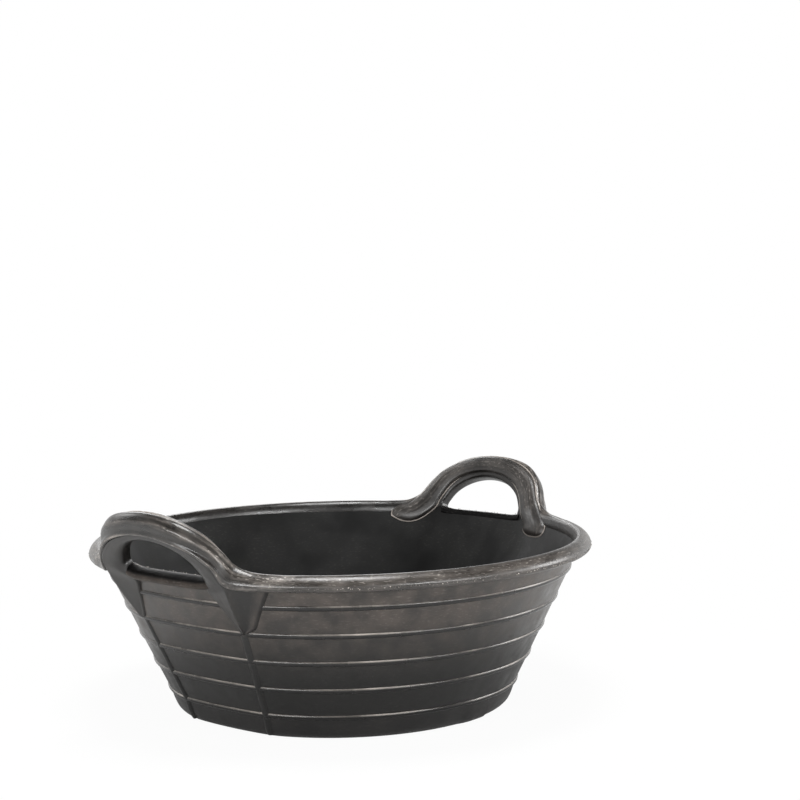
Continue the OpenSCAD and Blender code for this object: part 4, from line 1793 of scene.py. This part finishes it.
    def _inner_wall(self, places: Places) -> Points:
        """Finds points on the inner wall.

        Args:
            places: the Y and height of each.

        Returns:
            The points.
        """
        form = self.lines.form
        y, z = np.array(places).T
        turn = np.arcsin(y / (form.wall_radius(z) - form.wall_t))
        return form.spot(turn, z, self.strap.wall_in - form.wall_t)

    def _ridge(self, share: Points) -> Points:
        """The buttress's ridge, from the corner under the roll down to the tip on the seam.

        Args:
            share: how far down each point is.

        Returns:
            The points.
        """
        lines, wedge = self.lines, self.buttress
        corner_y, corner_s = self.roll.corner
        deep = lines.half_thick - wedge.ridge_sunk
        top = lines.spot(corner_y - wedge.ridge_in, corner_s + wedge.ridge_up, deep)
        tip = lines.form.spot(wedge.tip_turn, wedge.tip_z, wedge.tip_proud)
        belly = np.outer(np.sin(np.clip(share, 0, 1) * math.pi), wedge.belly)
        return mix(top, tip, share[:, None]) + belly

    def _inner_edge(self, share: Points, proud: Points, shift: float, lifted: bool) -> Points:
        """The buttress's edge on the end sheet.

        Args:
            share: how far down each point is.
            proud: how far it stands out from the wall.
            shift: how far round the wall it is moved.
            lifted: whether it leaves the wall towards the top.

        Returns:
            The points.
        """
        wedge = self.buttress
        turn = np.radians(mix(*wedge.inner_turns, np.clip(share, 0, 1) ** wedge.inner_power))
        lift = wedge.inner_lift * np.clip(1 - share, 0, 1) ** wedge.lift_power if lifted else 0.0
        z = mix(wedge.top_z, wedge.tip_z, share)
        return self.lines.form.spot(turn + shift / wedge.inner_r, z, proud + lift)

    def _band(self) -> bpy.types.Object:
        """Builds the flat band round the hand hole and the buttresses' inner facets below it.

        Returns:
            The new object.
        """
        lines, band = self.lines, self.band
        arch = np.radians((*lines.arch_turns, band.last_turn))
        hole_y, hole_s = lines.hole(arch)
        part_y, part_s = lines.parting(arch)
        away = np.stack([part_y - hole_y, part_s - hole_s])
        width = np.linalg.norm(away, axis=0)
        columns = []
        for share, more, level in band.marks:
            far = share + more / width
            place = (hole_y + away[0] * far, hole_s + away[1] * far, level * lines.half_thick)
            columns.append(lines.spot(*place))
        down = np.array(band.down_shares)
        past = down > 1.0
        sink = np.where(past, band.tip_sink, 0.0)
        ridge = self._ridge(np.minimum(down, 1.0))
        outward = unit(ridge * LEVEL)
        ridge = ridge - outward * sink[:, None] - np.outer(past * band.tip_drop, UP)
        lips = [
            self._inner_edge(down, np.maximum(proud - sink, self.buttress.deepest), shift, proud > 0.0)
            for proud, shift in band.lips
        ]
        deep = ridge - outward * np.where(past, band.tip_depth, band.depth)[:, None]
        facet = [mix(ridge, lips[0], share) for share in band.facet_shares]
        hidden = [mix(lips[-1], deep, share) for share in band.hidden_shares]
        below = [ridge - outward * band.ridge_depth, ridge, *facet, *lips, *hidden, deep]
        knots = np.concatenate([np.stack(columns, axis=1), np.stack(below, axis=1)])
        loops = rounded(spline(both_ways(knots), band.stations), band.round_steps)
        return self.dresser.skin(
            f"hole_band_{self.side.label}", self._turned(loops), self.finish, crease=self.crease
        )

    def _buttress(self, face: Face) -> bpy.types.Object:
        """Builds the outer facet of one buttress, with its stepped edge on the long sheet.

        Args:
            face: the long side that it is on.

        Returns:
            The new object.
        """
        wedge = self.buttress
        down = np.concatenate([np.linspace(wedge.start_share, 1.0, wedge.rows), wedge.past_shares])
        held = np.clip(down, 0.0, 1.0)
        sink = np.clip(down - 1.0, 0.0, 1.0) * wedge.past_sink
        z = mix(wedge.top_z, wedge.tip_z, np.minimum(down, wedge.past_shares[0]))
        blunt = np.clip((held - wedge.blunt_from) / wedge.blunt_over, 0.0, 1.0) ** 2
        turn = np.radians(mix(*wedge.outer_turns, held) - wedge.blunt_turn * blunt)
        ridge = self._ridge(np.minimum(down, wedge.ridge_past))
        outward = unit(ridge * LEVEL)
        ridge = ridge - outward * (wedge.facet_sunk + sink)[:, None]
        step = [
            self.lines.form.spot(turn + shift / wedge.outer_r, z, np.maximum(proud - sink, wedge.deepest))
            for proud, shift in wedge.steps
        ]
        facet = [mix(ridge, step[0], share) - outward * hollow for share, hollow in wedge.hollows]
        loops = np.stack([ridge - outward * wedge.ridge_depth, ridge, *facet, *step], axis=1)
        loops = rounded(loops * np.array([1.0, face.value, 1.0]), wedge.round_steps)
        wear = np.interp(np.arange(loops.shape[1]) / wedge.round_steps, range(len(wedge.wear)), wedge.wear)
        name = f"buttress_{face.label}_{self.side.label}"
        return self.dresser.skin(name, self._turned(loops), self.wall_finish, wear, crease=self.crease)


@dataclass
class SillRoll:
    """The lower roll under one hand hole."""

    side: Side
    form: TubForm
    dresser: Dresser
    finish: RubberFinish
    nibs: NibTree
    nib_finish: RubberFinish
    nib_share: float = 0.34
    half_w: float = 6.0
    half_h: float = 4.2
    middle_z: float = 123.8
    reach: float = math.radians(13.4)
    stations: int = 60
    sides: int = 32
    # The section is an oval that is a little squared, and its ends rise into the legs.
    square: float = 0.85
    end_rise: float = 2.0
    rise_from: float = math.radians(8.5)
    # A shallow groove along the outer side, by its turn round the section and as a share of the size.
    groove_at: float = 0.5
    groove_width: float = 0.14
    groove_share: float = 0.05
    # Bloom shows on the outer roll, and the edge of the hole is rubbed. The rest keeps the painted black of
    # the hole's shade.
    bloom_tilt: float = 0.35
    bloom_from: float = 0.35
    bloom_over: float = 0.5
    edge_tilt: float = 2.2
    edge_width: float = 0.12
    edge_worn: float = 0.5

    def build(self) -> None:
        """Builds and dresses the sill."""
        form = self.form
        turn = np.linspace(-self.reach, self.reach, self.stations)[:, None]
        a = np.linspace(0, 2 * math.pi, self.sides, endpoint=False)
        middle = form.wall_radius(self.middle_z) - form.wall_t + self.half_w
        round_x = np.sign(np.cos(a)) * np.abs(np.cos(a)) ** self.square
        round_z = np.sign(np.sin(a)) * np.abs(np.sin(a)) ** self.square
        groove = 1 - self.groove_share * bump(a, self.groove_at, self.groove_width)
        out, up = self.half_w * round_x * groove, self.half_h * round_z * groove
        r = form.outline_share(turn) * (middle + out * math.cos(form.lean) + up * math.sin(form.lean))
        near_end = np.maximum(np.abs(turn) - self.rise_from, 0) / (self.reach - self.rise_from)
        rise = self.end_rise * near_end ** 2
        z = self.middle_z + up * math.cos(form.lean) - out * math.sin(form.lean) + rise
        loops = polar(r, turn, z) * np.array([self.side.value, 1.0, 1.0])
        wear = ease((np.cos(a + self.bloom_tilt) - self.bloom_from) / self.bloom_over)
        wear += self.edge_worn * bump(a, self.edge_tilt, self.edge_width)
        name = self.side.label
        piece = self.dresser.skin(f"sill_roll_{name}", loops, self.finish, wear=wear)
        self.dresser.on_tub(piece, self.finish, [f"sill_{name}"])
        line = loops[:, round(self.nib_share * loops.shape[1])]
        nibs = self.nibs.piece(f"sill_nibs_{name}", [line], self.dresser.material(self.nib_finish))
        self.dresser.on_tub(nibs, self.nib_finish)


@dataclass(frozen=True)
class Lamp:
    """A soft rectangular lamp, with its place, width and height in metres."""

    name: str
    place: tuple[float, float, float]
    size: tuple[float, float]
    watts: float

    def build(self, aim_z: float) -> None:
        """Makes the lamp.

        Args:
            aim_z: the height on the tub's axis that it points at, in metres.
        """
        data = bpy.data.lights.new(self.name, "AREA")
        data.shape = "RECTANGLE"
        data.size, data.size_y = self.size
        data.energy = self.watts
        lamp = bpy.data.objects.new(self.name, data)
        lamp.location = self.place
        aim = Vector((0.0, 0.0, aim_z)) - Vector(self.place)
        lamp.rotation_euler = aim.to_track_quat("-Z", "Y").to_euler()
        bpy.context.scene.collection.objects.link(lamp)


@dataclass
class Stage:
    """The pale studio floor, soft lamps, white surroundings and the camera, in metres."""

    floor_half: float = 60.0
    # How white the floor looks near the tub, straight and in a gloss. It is all white where the fade ends.
    floor_glow: float = 0.95
    floor_gleam: float = 0.1
    fade_from: float = 0.22
    fade_to: float = 0.6
    floor_white: str = "#f4f4f3"
    # What light the surroundings give, how bright the ceiling is in a gloss, and where it starts above the
    # white backdrop.
    dim: float = 0.22
    ceiling: float = 0.06
    backdrop_to: float = math.radians(8.0)
    ceiling_from: float = math.radians(34.0)
    # A long low lamp on each front side draws the streaks on the ribs and the rim.
    lamps: tuple[Lamp, ...] = (
        Lamp("lamp_top", (-0.1, -0.1, 1.5), (0.5, 0.5), 15.0),
        Lamp("lamp_front_left", (-1.85, -0.25, 0.5), (1.2, 0.16), 16.5),
        Lamp("lamp_front_right", (-0.2, -1.85, 0.5), (1.2, 0.16), 15.0),
        Lamp("lamp_right", (1.4, -1.1, 0.5), (0.8, 0.5), 11.5),
        Lamp("lamp_back_left", (-0.2, 1.7, 1.2), (0.6, 0.5), 5.0),
        Lamp("lamp_back_right", (0.9, 1.2, 0.9), (1.0, 0.4), 6.0),
    )
    aim_z: float = 0.08
    # The camera is fitted to the rim, the ribs and the foot. Its sensor and lens are in millimetres, and its
    # turn is from +Y towards +X.
    sensor: float = 36.0
    lens: float = 85.5
    eye: tuple[float, float, float] = (-1.1092, -1.01987, 0.36656)
    turn: float = math.radians(49.2648)
    tilt: float = math.radians(-4.8299)
    roll: float = math.radians(-0.9119)

    def build(self) -> None:
        """Builds the floor, the surroundings, the lamps and the camera."""
        self._floor()
        self._surroundings()
        for lamp in self.lamps:
            lamp.build(self.aim_z)
        self._camera()
        bpy.context.scene.view_settings.view_transform = "Standard"

    def _floor(self) -> None:
        """Makes the floor, white to the eye but shaded by what stands on it."""
        material = bpy.data.materials.new("matt_studio_floor")
        material.use_nodes = True
        tree = material.node_tree
        tree.nodes.clear()
        paint = add_node(tree, "ShaderNodeBsdfDiffuse", {"Color": linear(self.floor_white)}).outputs[0]
        glow = add_node(tree, "ShaderNodeEmission", {"Color": WHITE, "Strength": 1.0}).outputs[0]
        place = add_node(tree, "ShaderNodeTexCoord").outputs["Object"]
        far = add_node(tree, "ShaderNodeVectorMath", {0: place}, operation="LENGTH").outputs["Value"]
        looked, mirrored = self._seen(tree)
        part = None
        for ray, near in ((looked, self.floor_glow), (mirrored, self.floor_gleam)):
            share = add_node(
                tree,
                "ShaderNodeMapRange",
                {"Value": far, "From Min": self.fade_from, "From Max": self.fade_to, "To Min": near},
            ).outputs["Result"]
            links = {0: ray, 1: share, 2: part or 0.0}
            part = add_node(tree, "ShaderNodeMath", links, operation="MULTIPLY_ADD").outputs[0]
        shader = add_node(tree, "ShaderNodeMixShader", {0: part, 1: paint, 2: glow}).outputs[0]
        add_node(tree, "ShaderNodeOutputMaterial", {"Surface": shader})
        h = self.floor_half
        mesh = bpy.data.meshes.new("studio_floor")
        mesh.from_pydata([(-h, -h, 0), (h, -h, 0), (h, h, 0), (-h, h, 0)], [], [(0, 1, 2, 3)])
        mesh.materials.append(material)
        floor = bpy.data.objects.new("studio_floor", mesh)
        bpy.context.scene.collection.objects.link(floor)

    @staticmethod
    def _seen(tree: bpy.types.NodeTree) -> tuple[bpy.types.NodeSocket, bpy.types.NodeSocket]:
        """Tells what is looked at, straight or in a gloss, from the light that it gives.

        Args:
            tree: the tree that asks.

        Returns:
            1 for what the eye sees straight, and 1 for what a gloss or a clear piece shows.
        """
        path = add_node(tree, "ShaderNodeLightPath").outputs
        mirrored = add_node(
            tree,
            "ShaderNodeMath",
            {0: path["Is Glossy Ray"], 1: path["Is Transmission Ray"]},
            operation="MAXIMUM",
        ).outputs[0]
        return path["Is Camera Ray"], mirrored

    def _surroundings(self) -> None:
        """Makes a white backdrop that gives way to a dim ceiling in a gloss, and to a dimmer light."""
        world = bpy.data.worlds.new("white_studio")
        bpy.context.scene.world = world
        world.use_nodes = True
        tree = world.node_tree
        tree.nodes.clear()
        looked, mirrored = self._seen(tree)
        way = add_node(tree, "ShaderNodeTexCoord").outputs["Generated"]
        height = add_node(tree, "ShaderNodeSeparateXYZ", {0: way}).outputs["Z"]
        low, high = (math.sin(angle) for angle in (self.backdrop_to, self.ceiling_from))
        gleam = add_node(
            tree,
            "ShaderNodeMapRange",
            {"Value": height, "From Min": low, "From Max": high, "To Min": 1.0, "To Max": self.ceiling},
            interpolation_type="SMOOTHSTEP",
        ).outputs["Result"]
        level = add_node(
            tree, "ShaderNodeMath", {0: mirrored, 1: gleam, 2: looked}, operation="MULTIPLY_ADD"
        ).outputs[0]
        seen = add_node(tree, "ShaderNodeMath", {0: looked, 1: mirrored}, operation="MAXIMUM").outputs[0]
        unseen = add_node(
            tree, "ShaderNodeMapRange", {"Value": seen, "To Min": self.dim, "To Max": 0.0}
        ).outputs["Result"]
        level = add_node(tree, "ShaderNodeMath", {0: level, 1: unseen}, operation="ADD").outputs[0]
        glow = add_node(tree, "ShaderNodeBackground", {"Color": WHITE, "Strength": level}).outputs[0]
        add_node(tree, "ShaderNodeOutputWorld", {"Surface": glow})

    def _camera(self) -> None:
        """Puts the camera where the photograph was taken from."""
        data = bpy.data.cameras.new("photo_camera")
        data.lens = self.lens
        data.sensor_width = self.sensor
        camera = bpy.data.objects.new("photo_camera", data)
        level = math.cos(self.tilt)
        look = Vector((math.sin(self.turn) * level, math.cos(self.turn) * level, math.sin(self.tilt)))
        aim = look.to_track_quat("-Z", "Y").to_matrix().to_4x4()
        camera.matrix_world = Matrix.Translation(self.eye) @ aim @ Matrix.Rotation(self.roll, 4, "Z")
        bpy.context.scene.collection.objects.link(camera)
        bpy.context.scene.camera = camera


def main() -> None:
    """Builds the tub's pieces in the order of the lay-up, then the stage."""
    logging.basicConfig(level=logging.INFO, format="%(name)s: %(message)s")
    form = TubForm()
    rim = RimForm(form)
    section = RollSection()
    finishes = Finishes()
    dresser = Dresser()
    FloorSheet(form, dresser, finishes.floor, finishes.inside).build()
    WallSheets(form, dresser, finishes.wall, finishes.inside).build()
    base = BaseStrip(form, dresser, finishes.floor)
    base.build()
    beads, nibs = BeadTree(), NibTree()
    WallBeads(form, dresser, finishes.wall, finishes.rib, base, beads).build()
    RimBeads(rim, section, dresser, finishes.rim, nibs, finishes.nib).build()
    lines = HandleForm(form)
    for side in Side:
        SillRoll(side, form, dresser, finishes.sill, nibs, finishes.nib).build()
        Handle(
            side, lines, rim, section, dresser, finishes.grip, finishes.roll, finishes.wall, finishes.flash,
            beads,
        ).build()
    Stage().build()


if __name__ == "__main__":
    main()
